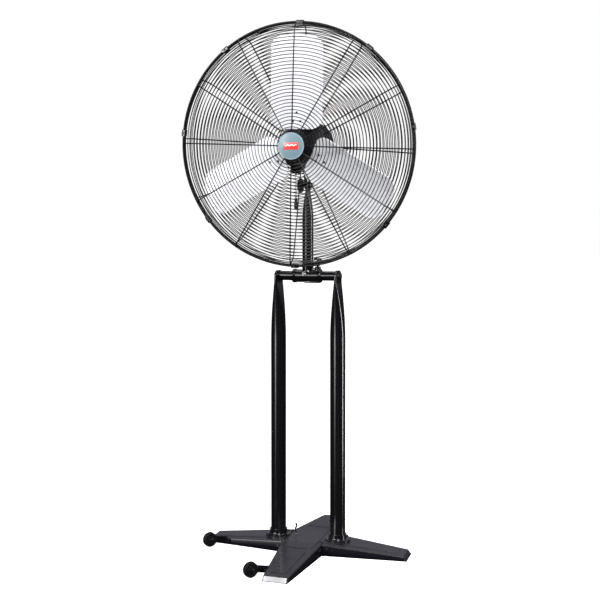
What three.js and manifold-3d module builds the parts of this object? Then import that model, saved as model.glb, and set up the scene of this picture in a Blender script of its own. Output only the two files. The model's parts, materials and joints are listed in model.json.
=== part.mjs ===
// A twin-post pedestal fan: a four-legged steel base with two transport wheels, two posts that are
// flattened at the top, a crossbar between them, an arm that swings on the crossbar, and a caged
// three-blade head that tilts on top of the arm. Millimetres. X runs along the crossbar, -Y is the
// side the air leaves from, +Z is up, and the origin is on the floor at the centre of the base.
import * as THREE from "three";
import { mergeVertices } from "three/addons/utils/BufferGeometryUtils.js";
import Module from "manifold-3d";

const wasm = await Module();
wasm.setup();

// ---- driving dimensions ----
const GAP = 0.3; // between pieces that touch
const SHEET = 3; // steel of the base

const LEG = {
  reach: 364, // centre to the foot of the sloping tip
  tip: 353, // centre to the top edge of the tip
  root: 72, // half width at the inner corners, and their distance from the centre
  tipHalf: 42,
  rootHeight: 40,
  tipHeight: 17,
};
const LEG_BOLT = { y: 50, z: 18, radius: 4, head: 7.5 };
const PAD = { radius: 46, top: 41.5 };
const FLANGE = { radius: 44, thick: 4, collar: 31.5, top: 62 };
const POST = { x: 109.5, radius: 27, bore: 24.8, flatHalf: 4.5, wideHalf: 39.5, flatFrom: 944, taper: 204 };
const BAR = { z: 966, half: 104.7, radius: 16.75, bore: 13.5, plug: 20, bolt: 6, tongue: 20 };
const SLEEVE = { left: -54, right: 50, radius: 22.5, bore: 17.15, boltX: -8, boltLift: 20 };
const ARM = { radius: 19.5, bore: 16.5, flatHalf: 4.5, wideHalf: 21, flatFrom: 1262, taper: 96, foot: 20.5 };
const LOCK = { x: 37, rod: 5, boss: 10.5, barHalf: 15, barRadius: 4.5, barLift: 59 };
const TILT = { z: 1285, rest: 6, bolt: 5, top: 13 };
const CHEEK = { inside: 5, outside: 10, radius: 13, saddleHalf: 20, saddle: 53 };
const KNOB = { near: -20, far: -33, radius: 23.5, lobe: 2.5, lobes: 8, hub: 7.5 };
const HOOK = { x: -48, y: 12, wire: 3, height: 44 };
const WHEEL = { radius: 25, half: 9, z: 29, bore: 4.4, axle: 4, head: 7.5 };

// The head is drawn level and then tilted. The motor axis runs along Y, and these places along it
// are measured from the tilt bolt, with the front negative.
const MOTOR = { axis: 140, radius: 84, inside: 79, front: -34, back: 50, nose: -50, tail: 70 };
const SHAFT = { radius: 8, front: -140, back: 65 };
const BEARING = { radius: 17.5, width: 11, front: -45, back: 54 };
const STATOR = { outer: 78.3, inner: 45, front: -20, back: 38, coil: 10 };
const ROTOR = { radius: 44 };
const CAPACITOR = { radius: 15, front: -14, back: 36, lift: 103 };
const MOUNT_RING = { inner: 62, outer: 84.5, front: -54.3, back: -50.3 };
const CAGE = {
  rim: 409, // radius of the centre line of both rim rings
  rimWire: 4,
  seam: -134, // the plane where the two rims meet
  wire: 2.4,
  spokes: 10,
  firstSpoke: 21, // degrees, so that no spoke meets a clip
};
// Each half of the cage: its rim, shoulder and corner as [radius, y], and the radii of its rings.
const FRONT_CAGE = { seam: -4.3, shoulder: [399, -158], corner: [385, -168], centre: [40, -174], rings: [210] };
const BACK_CAGE = { seam: 4.3, shoulder: [401, -94], corner: [380, -77], centre: [89, -53], rings: [240] };
const CLIP = { angles: [85.5, 125.5, 172, 217, 268, 319, 7, 49.5], half: 11, wall: 3, foot: 404 };
const BADGE = { radius: 46, back: -177, front: -182 };
const BLADE = {
  inner: 57,
  outer: 370,
  half: 88, // half the chord
  pitch: 20,
  sag: 12,
  sheet: 2,
  y: -120,
  angles: [87.5, 207.5, 327.5],
  rootCorner: 40,
  tipCorner: 48,
};
const SPIDER = { hub: 21, front: -136, back: -102, reach: 128, half: 21, near: 8, far: 12 };
const SWITCH = { x: -34, y: -28, half: 12, bottom: 44, wall: 2.5, throat: 3.5, nipple: 3, nippleEnd: 37 };
const GLAND = { z: 52, radius: 6.5, bore: 3.5, length: 14 };
const CHAIN = { radius: 1.6, drop: 1.2, length: 75 };
const PENDANT = { length: 42, radius: 6.5 };

// ---- finishes ----
const finish = (color, roughness, metalness) =>
  new THREE.MeshStandardMaterial({ color, roughness, metalness });
const FINISHES = {
  blackPaint: () => finish(0x101014, 0.28, 0.2),
  basePaint: () => finish(0x35343f, 0.4, 0.3),
  guardWire: () => finish(0x121218, 0.35, 0.3),
  motorPaint: () => finish(0x1b1b21, 0.5, 0.2),
  zinc: () => finish(0xb9bcc2, 0.35, 0.9),
  stripMetal: () => finish(0xd6d6dc, 0.3, 0.8),
  aluminium: () => finish(0xd8d8e0, 0.35, 0.85),
  laminations: () => finish(0x6d6f75, 0.5, 0.8),
  rubber: () => finish(0x0d0d0f, 0.8, 0),
  plastic: () => finish(0x0f0f12, 0.55, 0),
  badgePlastic: () => finish(0x708a94, 0.35, 0),
  capacitorCase: () => finish(0x8f9297, 0.4, 0.4),
};

// ---- joining and cutting ----
function solidOf(geometry) {
  const loose = geometry.index ? geometry.toNonIndexed() : geometry;
  const bare = new THREE.BufferGeometry().setAttribute("position", loose.getAttribute("position"));
  const merged = mergeVertices(bare, 1e-3);
  return new wasm.Manifold(
    new wasm.Mesh({
      numProp: 3,
      vertProperties: merged.attributes.position.array,
      triVerts: new Uint32Array(merged.index.array),
    }),
  );
}

function geometryOf(solid) {
  const mesh = solid.getMesh();
  return new THREE.BufferGeometry()
    .setAttribute("position", new THREE.BufferAttribute(mesh.vertProperties, 3))
    .setIndex(new THREE.BufferAttribute(mesh.triVerts, 1));
}

const join = (...shapes) => geometryOf(shapes.map(solidOf).reduce((sum, next) => sum.add(next)));
const cut = (shape, ...tools) =>
  geometryOf(tools.map(solidOf).reduce((rest, tool) => rest.subtract(tool), solidOf(shape)));
const common = (a, b) => geometryOf(solidOf(a).intersect(solidOf(b)));

// ---- plain shapes ----
// A cylinder between two places on one of the axes x, y or z.
function rod(axis, from, to, radius, sides = 20, endRadius = radius) {
  const shape = new THREE.CylinderGeometry(endRadius, radius, to - from, sides);
  shape.translate(0, (from + to) / 2, 0);
  if (axis === "x") shape.rotateZ(-Math.PI / 2);
  if (axis === "z") shape.rotateX(Math.PI / 2);
  return shape;
}

function box(x0, x1, y0, y1, z0, z1) {
  const shape = new THREE.BoxGeometry(x1 - x0, y1 - y0, z1 - z0);
  return shape.translate((x0 + x1) / 2, (y0 + y1) / 2, (z0 + z1) / 2);
}

// A solid of revolution about the Y axis; each point is [radius, y].
function turned(points, sides = 32) {
  return new THREE.LatheGeometry(
    points.map(([radius, y]) => new THREE.Vector2(radius, y)),
    sides,
  );
}

// A ring about the Y axis with a square section.
function collar(inner, outer, from, to, sides = 32) {
  return turned([[inner, to], [inner, from], [outer, from], [outer, to], [inner, to]], sides);
}

// A round wire bent into a full circle about the Y axis.
function wireRing(radius, y, wire, sides, steps) {
  const ring = new THREE.TorusGeometry(radius, wire, sides, steps);
  return ring.rotateX(Math.PI / 2).translate(0, y, 0);
}

// A round wire along a smooth curve through the given points.
function wirePath(points, wire, sides, steps) {
  const section = new THREE.Shape().absarc(0, 0, wire, 0, 2 * Math.PI);
  const route = points.map((p) => new THREE.Vector3(...p));
  return new THREE.ExtrudeGeometry(section, {
    steps,
    curveSegments: sides / 2,
    extrudePath: new THREE.CatmullRomCurve3(route, false, "centripetal"),
    bevelEnabled: false,
  });
}

// A straight wire between two points.
function straightWire(from, to, wire, sides) {
  const a = new THREE.Vector3(...from);
  const along = new THREE.Vector3(...to).sub(a);
  const shape = new THREE.CylinderGeometry(wire, wire, along.length(), sides);
  shape.translate(0, along.length() / 2, 0);
  const turn = new THREE.Quaternion().setFromUnitVectors(new THREE.Vector3(0, 1, 0), along.normalize());
  return shape.applyQuaternion(turn).translate(a.x, a.y, a.z);
}

// An outline of [x, y] points raised from z = from to z = to.
function prism(points, from, to) {
  const outline = new THREE.Shape(points.map(([x, y]) => new THREE.Vector2(x, y)));
  const shape = new THREE.ExtrudeGeometry(outline, { depth: to - from, bevelEnabled: false });
  return shape.translate(0, 0, from);
}

// The same prism with its outline's x and y laid along Y and Z, and its depth along X.
const prismAlongX = (points, from, to) =>
  prism(points, from, to).applyMatrix4(new THREE.Matrix4().set(0, 0, 1, 0, 1, 0, 0, 0, 0, 1, 0, 0, 0, 0, 0, 1));

// The same prism with its outline's x and y laid along Z and X, and its depth along Y.
const prismAlongY = (points, from, to) =>
  prism(points, from, to).applyMatrix4(new THREE.Matrix4().set(0, 1, 0, 0, 0, 0, 1, 0, 1, 0, 0, 0, 0, 0, 0, 1));

// A rectangle from x0 to x1, half high each way, with its own corner radius at each end.
function roundedOutline(x0, x1, half, startCorner, endCorner, corner) {
  const shape = new THREE.Shape();
  shape.moveTo(x0 + startCorner, -half);
  shape.absarc(x1 - endCorner, -half + endCorner, endCorner, -Math.PI / 2, 0);
  shape.absarc(x1 - endCorner, half - endCorner, endCorner, 0, Math.PI / 2);
  shape.absarc(x0 + startCorner, half - startCorner, startCorner, Math.PI / 2, Math.PI);
  shape.absarc(x0 + startCorner, -half + startCorner, startCorner, Math.PI, 1.5 * Math.PI);
  return shape.extractPoints(corner).shape.map((p) => [p.x, p.y]);
}

const hexHead = (axis, from, to, radius) => rod(axis, from, to, radius, 6);

// A round tube along Z that is squeezed flat towards its top: half as thick as `flatHalf` along X
// and `wideHalf` wide along Y from flatFrom up, with a rounded end above the bolt at boltZ.
function squeezedTube({ radius, flatHalf, wideHalf, flatFrom, taper }, from, boltZ, tongue) {
  const heights = [from, flatFrom - taper];
  for (let i = 1; i <= 5; i++) heights.push(flatFrom - taper * (1 - i / 5));
  for (let i = 0; i <= 3; i++) heights.push(boltZ + tongue * Math.sin((i * Math.PI) / 6.5));
  const shape = turned([[0, from], ...heights.map((z) => [1, z]), [0, heights.at(-1)]], 18);
  shape.rotateX(Math.PI / 2);
  const place = shape.getAttribute("position");
  for (let i = 0; i < place.count; i++) {
    const z = place.getZ(i);
    const depth = THREE.MathUtils.clamp((flatFrom - z) / taper, 0, 1);
    const round = Math.sin((depth * Math.PI) / 2);
    const end = Math.max(0, (z - boltZ) / tongue);
    const half = THREE.MathUtils.lerp(flatHalf, radius, round);
    const wide = THREE.MathUtils.lerp(wideHalf, radius, round) * Math.sqrt(1 - Math.min(end, 1) ** 2);
    const squareness = THREE.MathUtils.lerp(0.45, 1, round);
    const fullness = (value) => Math.sign(value) * Math.abs(value) ** squareness;
    place.setXY(i, half * fullness(place.getX(i)), wide * fullness(place.getY(i)));
  }
  return shape;
}

// ---- scene ----
const fan = new THREE.Group();
const head = new THREE.Group(); // level coordinates about the tilt bolt
head.position.set(0, 0, TILT.z);
head.rotation.x = THREE.MathUtils.degToRad(TILT.rest);
fan.add(head);
const motor = new THREE.Group(); // the same, about the motor axis
motor.position.z = MOTOR.axis;
head.add(motor);

function piece(parent, name, material, geometry) {
  const mesh = new THREE.Mesh(geometry, FINISHES[material]());
  mesh.name = name;
  parent.add(mesh);
}

// ---- base ----
// One leg along +X from the centre; `skin` is how far inside the outer faces it lies, so the same
// block makes both the leg and the hollow under it.
function legBlock(skin) {
  const side = prism(
    [
      [-1, skin ? -1 : 0],
      [LEG.reach - 2 * skin, skin ? -1 : 0],
      [LEG.tip - skin, LEG.tipHeight - skin],
      [LEG.root, LEG.rootHeight - skin],
      [-1, LEG.rootHeight - skin],
    ],
    -LEG.root - 1,
    LEG.root + 1,
  ).rotateX(Math.PI / 2);
  const plan = prism(
    [
      [-2, -LEG.root + skin],
      [LEG.root, -LEG.root + skin],
      [LEG.reach, -LEG.tipHalf + skin],
      [LEG.reach, LEG.tipHalf - skin],
      [LEG.root, LEG.root - skin],
      [-2, LEG.root - skin],
    ],
    -2,
    LEG.rootHeight + 1,
  );
  return common(side, plan);
}

const awayFromCentre = (block, start) => cut(block, box(-3, start, -99, 99, -3, 99));
const LEG_WALL = (LEG.root - LEG.tipHalf) / (LEG.reach - LEG.root); // how fast a side wall closes in

function buildBase() {
  const beam = (skin) => join(legBlock(skin).rotateZ(-Math.PI / 2), legBlock(skin).rotateZ(Math.PI / 2));
  const hole = rod("x", -99, 99, LEG_BOLT.radius + GAP, 12).translate(0, 0, LEG_BOLT.z);
  const holes = [-LEG_BOLT.y, LEG_BOLT.y].map((y) => hole.clone().translate(0, y, 0));
  piece(fan, "base_beam", "basePaint", cut(beam(0), beam(SHEET), ...holes));

  const legStart = LEG.root + GAP;
  for (const [name, turn] of [["right_leg", 0], ["left_leg", Math.PI]]) {
    const disc = rod("z", 30, PAD.top, PAD.radius, 24).translate(POST.x, 0, 0);
    const pad = cut(disc, box(0, legStart, -99, 99, 0, LEG.rootHeight + GAP));
    const outer = join(awayFromCentre(legBlock(0), legStart), pad);
    const shell = cut(outer, awayFromCentre(legBlock(SHEET), legStart + SHEET), ...holes);
    piece(fan, name, "basePaint", shell.rotateZ(turn));
  }

  // A bright plate lies on the sloping face of the front tip.
  const slope = Math.atan2(LEG.reach - LEG.tip, LEG.tipHeight);
  const plate = box(GAP, GAP + 1.5, 3 - LEG.tipHalf, LEG.tipHalf - 3, -8, 8).rotateY(-slope);
  plate.translate((LEG.tip + LEG.reach) / 2, 0, LEG.tipHeight / 2).rotateZ(-Math.PI / 2);
  piece(fan, "front_tip_plate", "stripMetal", plate);

  // Four bolts, two for each side leg, pull the legs against the walls of the beam.
  const inner = LEG.root - SHEET - GAP;
  const outer = legStart + SHEET + GAP;
  for (const [name, turn, y] of [
    ["leg_bolt_front_right", 0, -LEG_BOLT.y],
    ["leg_bolt_back_right", 0, LEG_BOLT.y],
    ["leg_bolt_front_left", Math.PI, LEG_BOLT.y],
    ["leg_bolt_back_left", Math.PI, -LEG_BOLT.y],
  ]) {
    const bolt = join(
      rod("x", inner - 1, outer + 1, LEG_BOLT.radius, 12),
      hexHead("x", inner - 5, inner, LEG_BOLT.head),
      hexHead("x", outer, outer + 5, LEG_BOLT.head),
    );
    piece(fan, name, "zinc", bolt.translate(0, y, LEG_BOLT.z).rotateZ(turn));
  }

  const stem = wirePath(
    [[0, 0, 2], [0, 0, 14], [-3, 0, 21], [2, 0, 28], [3, 0, 35], [-2, 0, HOOK.height - 3]],
    HOOK.wire,
    6,
    9,
  );
  const hook = join(stem, rod("z", GAP, 6, 7, 6)).translate(HOOK.x, HOOK.y, LEG.rootHeight);
  piece(fan, "base_hook", "blackPaint", hook);
}

// ---- transport wheels ----
// Each wheel is drawn about the X axis and then turned, so that both share one slanting axle line.
// legTurn, side and along say which wall of which leg carries it: the leg's heading, the side of
// the leg, and how far out the bracket meets it.
function buildWheel(name, [x, y], { legTurn, side, along }) {
  const place = (geometry) => geometry.rotateZ(-Math.PI / 4).translate(x, y, WHEEL.z);
  const half = WHEEL.half;
  const tread = turned(
    [
      [WHEEL.bore, half],
      [WHEEL.bore, -half],
      [11, -half],
      [12, 3 - half],
      [19, 3 - half],
      [20, -half],
      [WHEEL.radius - 2, -half],
      [WHEEL.radius, 3 - half],
      [WHEEL.radius, half - 3],
      [WHEEL.radius - 2, half],
      [20, half],
      [19, half - 3],
      [12, half - 3],
      [11, half],
      [WHEEL.bore, half],
    ],
    20,
  ).rotateZ(-Math.PI / 2);
  piece(fan, "wheel_" + name, "rubber", place(tread));

  const axle = join(
    rod("x", -half - 9, half + 3, WHEEL.axle, 14),
    hexHead("x", half + 1, half + 6, WHEEL.head),
    hexHead("x", -half - 11, -half - 6.5, WHEEL.head),
  );
  piece(fan, "axle_" + name, "zinc", place(axle));

  // The bracket runs from the axle, behind the wheel, to a shoe on the side wall of the leg.
  const strut = prismAlongX([[0, -12], [72, -25], [72, -3], [0, 12]], -half - 6, -half - 1);
  const arm = join(rod("x", -half - 6, -half - 1, 12, 20), strut);
  const shoe = box(-23, 23, side > 0 ? 0 : -3, side > 0 ? 3 : 0, -8, 8);
  shoe.rotateZ(-side * Math.atan(LEG_WALL));
  shoe.translate(along, side * (LEG.root - LEG_WALL * (along - LEG.root)), WHEEL.z - 15).rotateZ(legTurn);
  const hole = rod("x", -half - 7, -half, WHEEL.axle + GAP, 14);
  const bracket = join(place(cut(arm, hole)), shoe);
  piece(fan, "wheel_bracket_" + name, "blackPaint", cut(bracket, legBlock(-GAP).rotateZ(legTurn)));
}

// ---- posts and crossbar ----
function buildPosts() {
  for (const [name, x] of [["left", -POST.x], ["right", POST.x]]) {
    const base = PAD.top + GAP;
    const flange = join(
      rod("z", base, base + FLANGE.thick, FLANGE.radius, 24),
      collar(POST.radius + GAP, FLANGE.collar, base + 1, FLANGE.top, 24).rotateX(Math.PI / 2),
    );
    piece(fan, "post_flange_" + name, "blackPaint", flange.translate(x, 0, 0));

    const foot = base + FLANGE.thick + GAP;
    const tube = squeezedTube(POST, foot, BAR.z, BAR.tongue);
    const bore = rod("z", foot - 5, POST.flatFrom - POST.taper, POST.bore, 24);
    const boltHole = rod("x", -9, 9, BAR.bolt + 0.4, 16).translate(0, 0, BAR.z);
    piece(fan, "post_" + name, "blackPaint", cut(tube, bore, boltHole).translate(x, 0, 0));

    const face = POST.x + POST.flatHalf + GAP;
    const bolt = join(
      rod("x", BAR.half - 22, face + 3, BAR.bolt, 16),
      rod("x", face, face + 2, 14, 24),
      hexHead("x", face + 1.9, face + 8, 11),
    );
    piece(fan, "crossbar_bolt_" + name, "zinc", bolt.translate(0, 0, BAR.z).rotateZ(x < 0 ? Math.PI : 0));
  }

  const tube = rod("x", -BAR.half, BAR.half, BAR.radius, 24);
  const hollow = rod("x", BAR.plug - BAR.half, BAR.half - BAR.plug, BAR.bore, 20);
  const boltHole = rod("x", -BAR.half - 1, BAR.half + 1, BAR.bolt + 0.4, 16);
  piece(fan, "crossbar", "blackPaint", cut(tube, hollow, boltHole).translate(0, 0, BAR.z));
}

// ---- swinging arm ----
function buildArm() {
  const boss = rod("z", 12, 33, LOCK.boss, 20).translate(LOCK.x, 0, 0);
  const lift = THREE.MathUtils.degToRad(SLEEVE.boltLift);
  const lean = (geometry) => geometry.rotateX(Math.PI / 2 - lift).translate(SLEEVE.boltX, 0, 0);
  const sleeve = cut(
    join(rod("x", SLEEVE.left, SLEEVE.right, SLEEVE.radius, 24), boss),
    rod("x", SLEEVE.left - 1, SLEEVE.right + 1, SLEEVE.bore, 24),
    rod("z", 10, 40, LOCK.rod + 0.4, 16).translate(LOCK.x, 0, 0),
    lean(rod("z", 10, 30, 4.3, 12)),
  );
  piece(fan, "pivot_sleeve", "blackPaint", sleeve.translate(0, 0, BAR.z));

  const bolt = lean(join(rod("z", SLEEVE.bore + GAP, 24, 4, 12), hexHead("z", SLEEVE.radius + GAP, 28, 6.5)));
  piece(fan, "sleeve_bolt", "zinc", bolt.translate(0, 0, BAR.z));

  const handle = join(
    rod("z", SLEEVE.bore, LOCK.barLift, LOCK.rod, 16),
    rod("x", -LOCK.barHalf, LOCK.barHalf, LOCK.barRadius, 14).translate(0, 0, LOCK.barLift),
    rod("z", 36, 48, 8, 12),
  );
  piece(fan, "sleeve_lock_handle", "plastic", handle.translate(LOCK.x, 0, BAR.z));

  const tube = squeezedTube(ARM, BAR.z + 10, TILT.z, TILT.top);
  const foot = rod("z", BAR.z + 10, BAR.z + 42, ARM.foot, 24, ARM.radius);
  const arm = cut(
    join(tube, foot),
    rod("z", BAR.z, ARM.flatFrom - ARM.taper, ARM.bore, 20),
    rod("x", -40, 40, SLEEVE.radius + GAP, 24).translate(0, 0, BAR.z),
    rod("x", -40, 40, TILT.bolt + 0.4, 16).translate(0, 0, TILT.z),
  );
  piece(fan, "arm_tube", "blackPaint", arm);
}

// ---- tilt joint ----
function buildTilt() {
  const drum = rod("y", -60, 80, MOTOR.radius + GAP, 28).translate(0, 0, MOTOR.axis);
  const hole = rod("x", -30, 30, TILT.bolt + 0.4, 16);
  const cheek = join(
    rod("x", CHEEK.inside, CHEEK.outside, CHEEK.radius, 24),
    box(CHEEK.inside, CHEEK.outside, -CHEEK.radius, CHEEK.radius, 0, CHEEK.saddle + 2),
  );
  const saddle = box(-CHEEK.saddleHalf, CHEEK.saddleHalf, -26, 26, CHEEK.saddle, 70);
  const bracket = cut(join(saddle, cheek, cheek.clone().rotateZ(Math.PI)), drum, hole);
  piece(head, "motor_bracket", "blackPaint", bracket);

  const bolt = join(
    rod("x", KNOB.near - 12, CHEEK.outside + 1, TILT.bolt, 16),
    hexHead("x", CHEEK.outside + GAP, CHEEK.outside + 7, 8.5),
  );
  piece(fan, "tilt_bolt", "zinc", bolt.translate(0, 0, TILT.z));

  const outline = [];
  for (let i = 0; i < 5 * KNOB.lobes; i++) {
    const angle = (i * 2 * Math.PI) / (5 * KNOB.lobes);
    const radius = KNOB.radius + KNOB.lobe * Math.cos(KNOB.lobes * angle);
    outline.push([radius * Math.cos(angle), radius * Math.sin(angle)]);
  }
  const grip = join(
    prismAlongX(outline, KNOB.far, KNOB.near),
    rod("x", KNOB.near - 0.1, -CHEEK.outside - 2 * GAP, KNOB.hub, 20),
  );
  const knob = cut(grip, rod("x", KNOB.near - 13, 0, TILT.bolt + GAP, 16));
  piece(fan, "tilt_knob", "plastic", knob.translate(0, 0, TILT.z));
}

// ---- motor ----
function buildMotor() {
  const { radius, inside, front, back, nose, tail } = MOTOR;
  const pocket = BEARING.radius + GAP;
  const frontSeat = BEARING.front - GAP;
  const backSeat = BEARING.back + BEARING.width + GAP;
  piece(motor, "motor_shell", "motorPaint", collar(inside, radius, front, back, 28));
  const frontBell = turned(
    [
      [10, frontSeat],
      [10, nose],
      [72, nose],
      [radius, nose + 11],
      [radius, front - GAP],
      [inside, front - GAP],
      [70, nose + 5],
      [pocket + 4, nose + 5],
      [pocket + 4, front],
      [pocket, front],
      [pocket, frontSeat],
      [10, frontSeat],
    ],
    28,
  );
  piece(motor, "motor_front_bell", "motorPaint", frontBell);
  const backBell = turned(
    [
      [0, backSeat],
      [pocket, backSeat],
      [pocket, BEARING.back],
      [pocket + 4, BEARING.back],
      [pocket + 4, tail - 4],
      [70, tail - 4],
      [inside, tail - 13],
      [inside, back + GAP],
      [radius, back + GAP],
      [radius, tail - 13],
      [72, tail],
      [0, tail],
    ],
    28,
  );
  piece(motor, "motor_back_bell", "motorPaint", backBell);

  const core = collar(STATOR.inner, STATOR.outer, STATOR.front, STATOR.back, 24);
  const coils = collar(STATOR.inner + 5, 72, STATOR.front - STATOR.coil, STATOR.back + STATOR.coil, 24);
  piece(motor, "stator", "laminations", join(core, coils));
  const bored = SHAFT.radius + GAP;
  piece(motor, "rotor_core", "laminations", collar(bored, ROTOR.radius, STATOR.front, STATOR.back, 24));
  piece(motor, "motor_shaft", "zinc", rod("y", SHAFT.front, SHAFT.back, SHAFT.radius, 20));
  for (const [name, y] of [["bearing_front", BEARING.front], ["bearing_back", BEARING.back]]) {
    piece(motor, name, "zinc", collar(bored, BEARING.radius, y, y + BEARING.width, 20));
  }

  // The capacitor lies in a cover on top of the shell.
  const drum = rod("y", -60, 80, radius + GAP, 28);
  const lid = radius + 40;
  const cover = cut(box(-24, 24, -20, 42, 60, lid), box(-21, 21, -17, 39, 50, lid - 3), drum);
  piece(motor, "capacitor_cover", "motorPaint", cover);
  const can = rod("y", CAPACITOR.front, CAPACITOR.back, CAPACITOR.radius, 20).translate(0, 0, CAPACITOR.lift);
  piece(motor, "capacitor", "capacitorCase", can);
  piece(motor, "cage_mount_ring", "motorPaint", collar(MOUNT_RING.inner, MOUNT_RING.outer, MOUNT_RING.front, MOUNT_RING.back, 28));
}

// ---- pull switch, supply gland and chain ----
function buildSwitch() {
  const { x, y, half, bottom, wall } = SWITCH;
  const drum = rod("y", -60, 80, MOTOR.radius + GAP, 28).translate(0, 0, MOTOR.axis);
  const inner = half - wall;
  const housing = cut(
    box(x - half, x + half, y - half, y + half, bottom, 90),
    box(x - inner, x + inner, y - inner, y + inner, bottom + wall, 95),
    drum,
    rod("z", bottom - 1, bottom + 4, SWITCH.throat, 14).translate(x, y, 0),
    rod("y", y + inner - 1, y + half + 1, GLAND.bore, 14).translate(x, 0, GLAND.z),
  );
  piece(head, "switch_housing", "motorPaint", housing);
  const body = box(x - 8, x + 8, y - 8, y + 8, bottom + wall + GAP, bottom + wall + 9);
  const nipple = rod("z", SWITCH.nippleEnd, bottom + wall + 1, SWITCH.nipple, 14).translate(x, y, 0);
  piece(head, "pull_switch", "plastic", join(body, nipple));

  const face = y + half + GAP;
  const gland = cut(
    join(rod("y", face, face + 5, GLAND.radius, 6), rod("y", face, face + GLAND.length, 5.5, 16)),
    rod("y", face - 1, face + GLAND.length + 1, GLAND.bore, 14),
  );
  piece(head, "cord_gland", "plastic", gland.translate(x, 0, GLAND.z));

  // The chain hangs straight down from the nipple whatever the tilt of the head.
  const top = new THREE.Vector3(x, y, SWITCH.nippleEnd).applyEuler(head.rotation).add(head.position);
  const start = top.z - CHAIN.drop / 2;
  const chain = wirePath([[top.x, top.y, start], [top.x, top.y, start - CHAIN.length]], CHAIN.radius, 8, 10);
  piece(fan, "pull_chain", "zinc", chain);
  const pendant = turned(
    [
      [0, -PENDANT.length],
      [PENDANT.radius - 1, -PENDANT.length],
      [PENDANT.radius, -PENDANT.length + 3],
      [PENDANT.radius, -20],
      [PENDANT.radius - 1.5, -12],
      [2.5, 0],
      [0, 0],
    ],
    16,
  );
  pendant.rotateX(Math.PI / 2).translate(top.x, top.y, start - CHAIN.length - GAP);
  piece(fan, "chain_pendant", "plastic", pendant);
}

// ---- cage ----
// A place at a radius from the motor axis, at an angle seen from the front, counted from +X up.
const around = (geometry, angle) => geometry.rotateY(THREE.MathUtils.degToRad(90 - angle));

function buildCage({ seam, shoulder, corner, centre, rings }) {
  const rim = CAGE.seam + seam;
  const faceAt = (radius) =>
    THREE.MathUtils.mapLinear(radius, corner[0], centre[0], corner[1], centre[1]);
  const parts = [wireRing(CAGE.rim, rim, CAGE.rimWire, 5, 40)];
  for (const radius of [corner[0], ...rings]) {
    parts.push(wireRing(radius, faceAt(radius), CAGE.wire, 4, 32));
  }
  parts.push(wireRing(centre[0], centre[1], CAGE.wire, 4, 20));
  const bends = [[CAGE.rim, rim], shoulder, corner, centre];
  for (let i = 0; i < CAGE.spokes; i++) {
    for (let j = 1; j < bends.length; j++) {
      const [from, to] = [bends[j - 1], bends[j]].map(([radius, y]) => [0, y, radius]);
      parts.push(around(straightWire(from, to, CAGE.wire, 4), CAGE.firstSpoke + (i * 360) / CAGE.spokes));
    }
  }
  return join(...parts);
}

function buildGuards() {
  piece(motor, "guard_front", "guardWire", buildCage(FRONT_CAGE));
  piece(motor, "guard_back", "guardWire", buildCage(BACK_CAGE));
  piece(motor, "badge", "badgePlastic", rod("y", BADGE.front, BADGE.back, BADGE.radius, 32));

  const out = CAGE.rim + CAGE.rimWire + 0.5;
  const half = FRONT_CAGE.seam - CAGE.rimWire - 0.5;
  CLIP.angles.forEach((angle, i) => {
    const block = box(-CLIP.half, CLIP.half, half - 2.5, 2.5 - half, CLIP.foot, out + CLIP.wall);
    const slot = box(-CLIP.half - 1, CLIP.half + 1, half, -half, CLIP.foot - 1, out);
    const clip = cut(block, slot).translate(0, CAGE.seam, 0);
    piece(motor, "rim_clip_" + (i + 1), "blackPaint", around(clip, angle));
  });
}

// ---- rotor ----
function buildRotor() {
  const { half, sag, sheet } = BLADE;
  const bow = (side) =>
    Array.from({ length: 7 }, (unused, i) => {
      const x = half * (i / 3 - 1);
      return [x, sag * (0.5 - (x / half) ** 2) + (side * sheet) / 2];
    });
  const band = prism([...bow(-1), ...bow(1).reverse()], BLADE.inner - 1, BLADE.outer + 1);
  const outline = roundedOutline(BLADE.inner, BLADE.outer, half, BLADE.rootCorner, BLADE.tipCorner, 3);
  const blade = common(band, prismAlongY(outline, -sag - 9, sag + 9));
  const pitched = (geometry) => geometry.rotateZ(THREE.MathUtils.degToRad(BLADE.pitch)).translate(0, BLADE.y, 0);
  const arm = pitched(box(-SPIDER.half, SPIDER.half, SPIDER.near, SPIDER.far, 10, SPIDER.reach));
  pitched(blade);
  const hub = rod("y", SPIDER.front, SPIDER.back, SPIDER.hub, 24);
  BLADE.angles.forEach((angle, i) => {
    piece(motor, "blade_" + (i + 1), "aluminium", around(blade.clone(), angle));
  });
  const arms = BLADE.angles.map((angle) => around(arm.clone(), angle));
  const bore = rod("y", SPIDER.front - 1, SPIDER.back + 1, SHAFT.radius + GAP, 20);
  piece(motor, "blade_spider", "motorPaint", cut(join(hub, ...arms), bore));
}

buildBase();
buildWheel("left", [-332, -103], { legTurn: Math.PI, side: 1, along: 296 });
buildWheel("front", [-86, -349], { legTurn: -Math.PI / 2, side: -1, along: 296 });
buildPosts();
buildArm();
buildTilt();
buildMotor();
buildSwitch();
buildGuards();
buildRotor();

export default fan;
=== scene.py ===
"""Looks of an industrial pedestal fan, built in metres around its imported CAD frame."""

import json
import logging
from dataclasses import dataclass
from enum import Enum
from math import atan2, cos, pi, radians, sin

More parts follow.
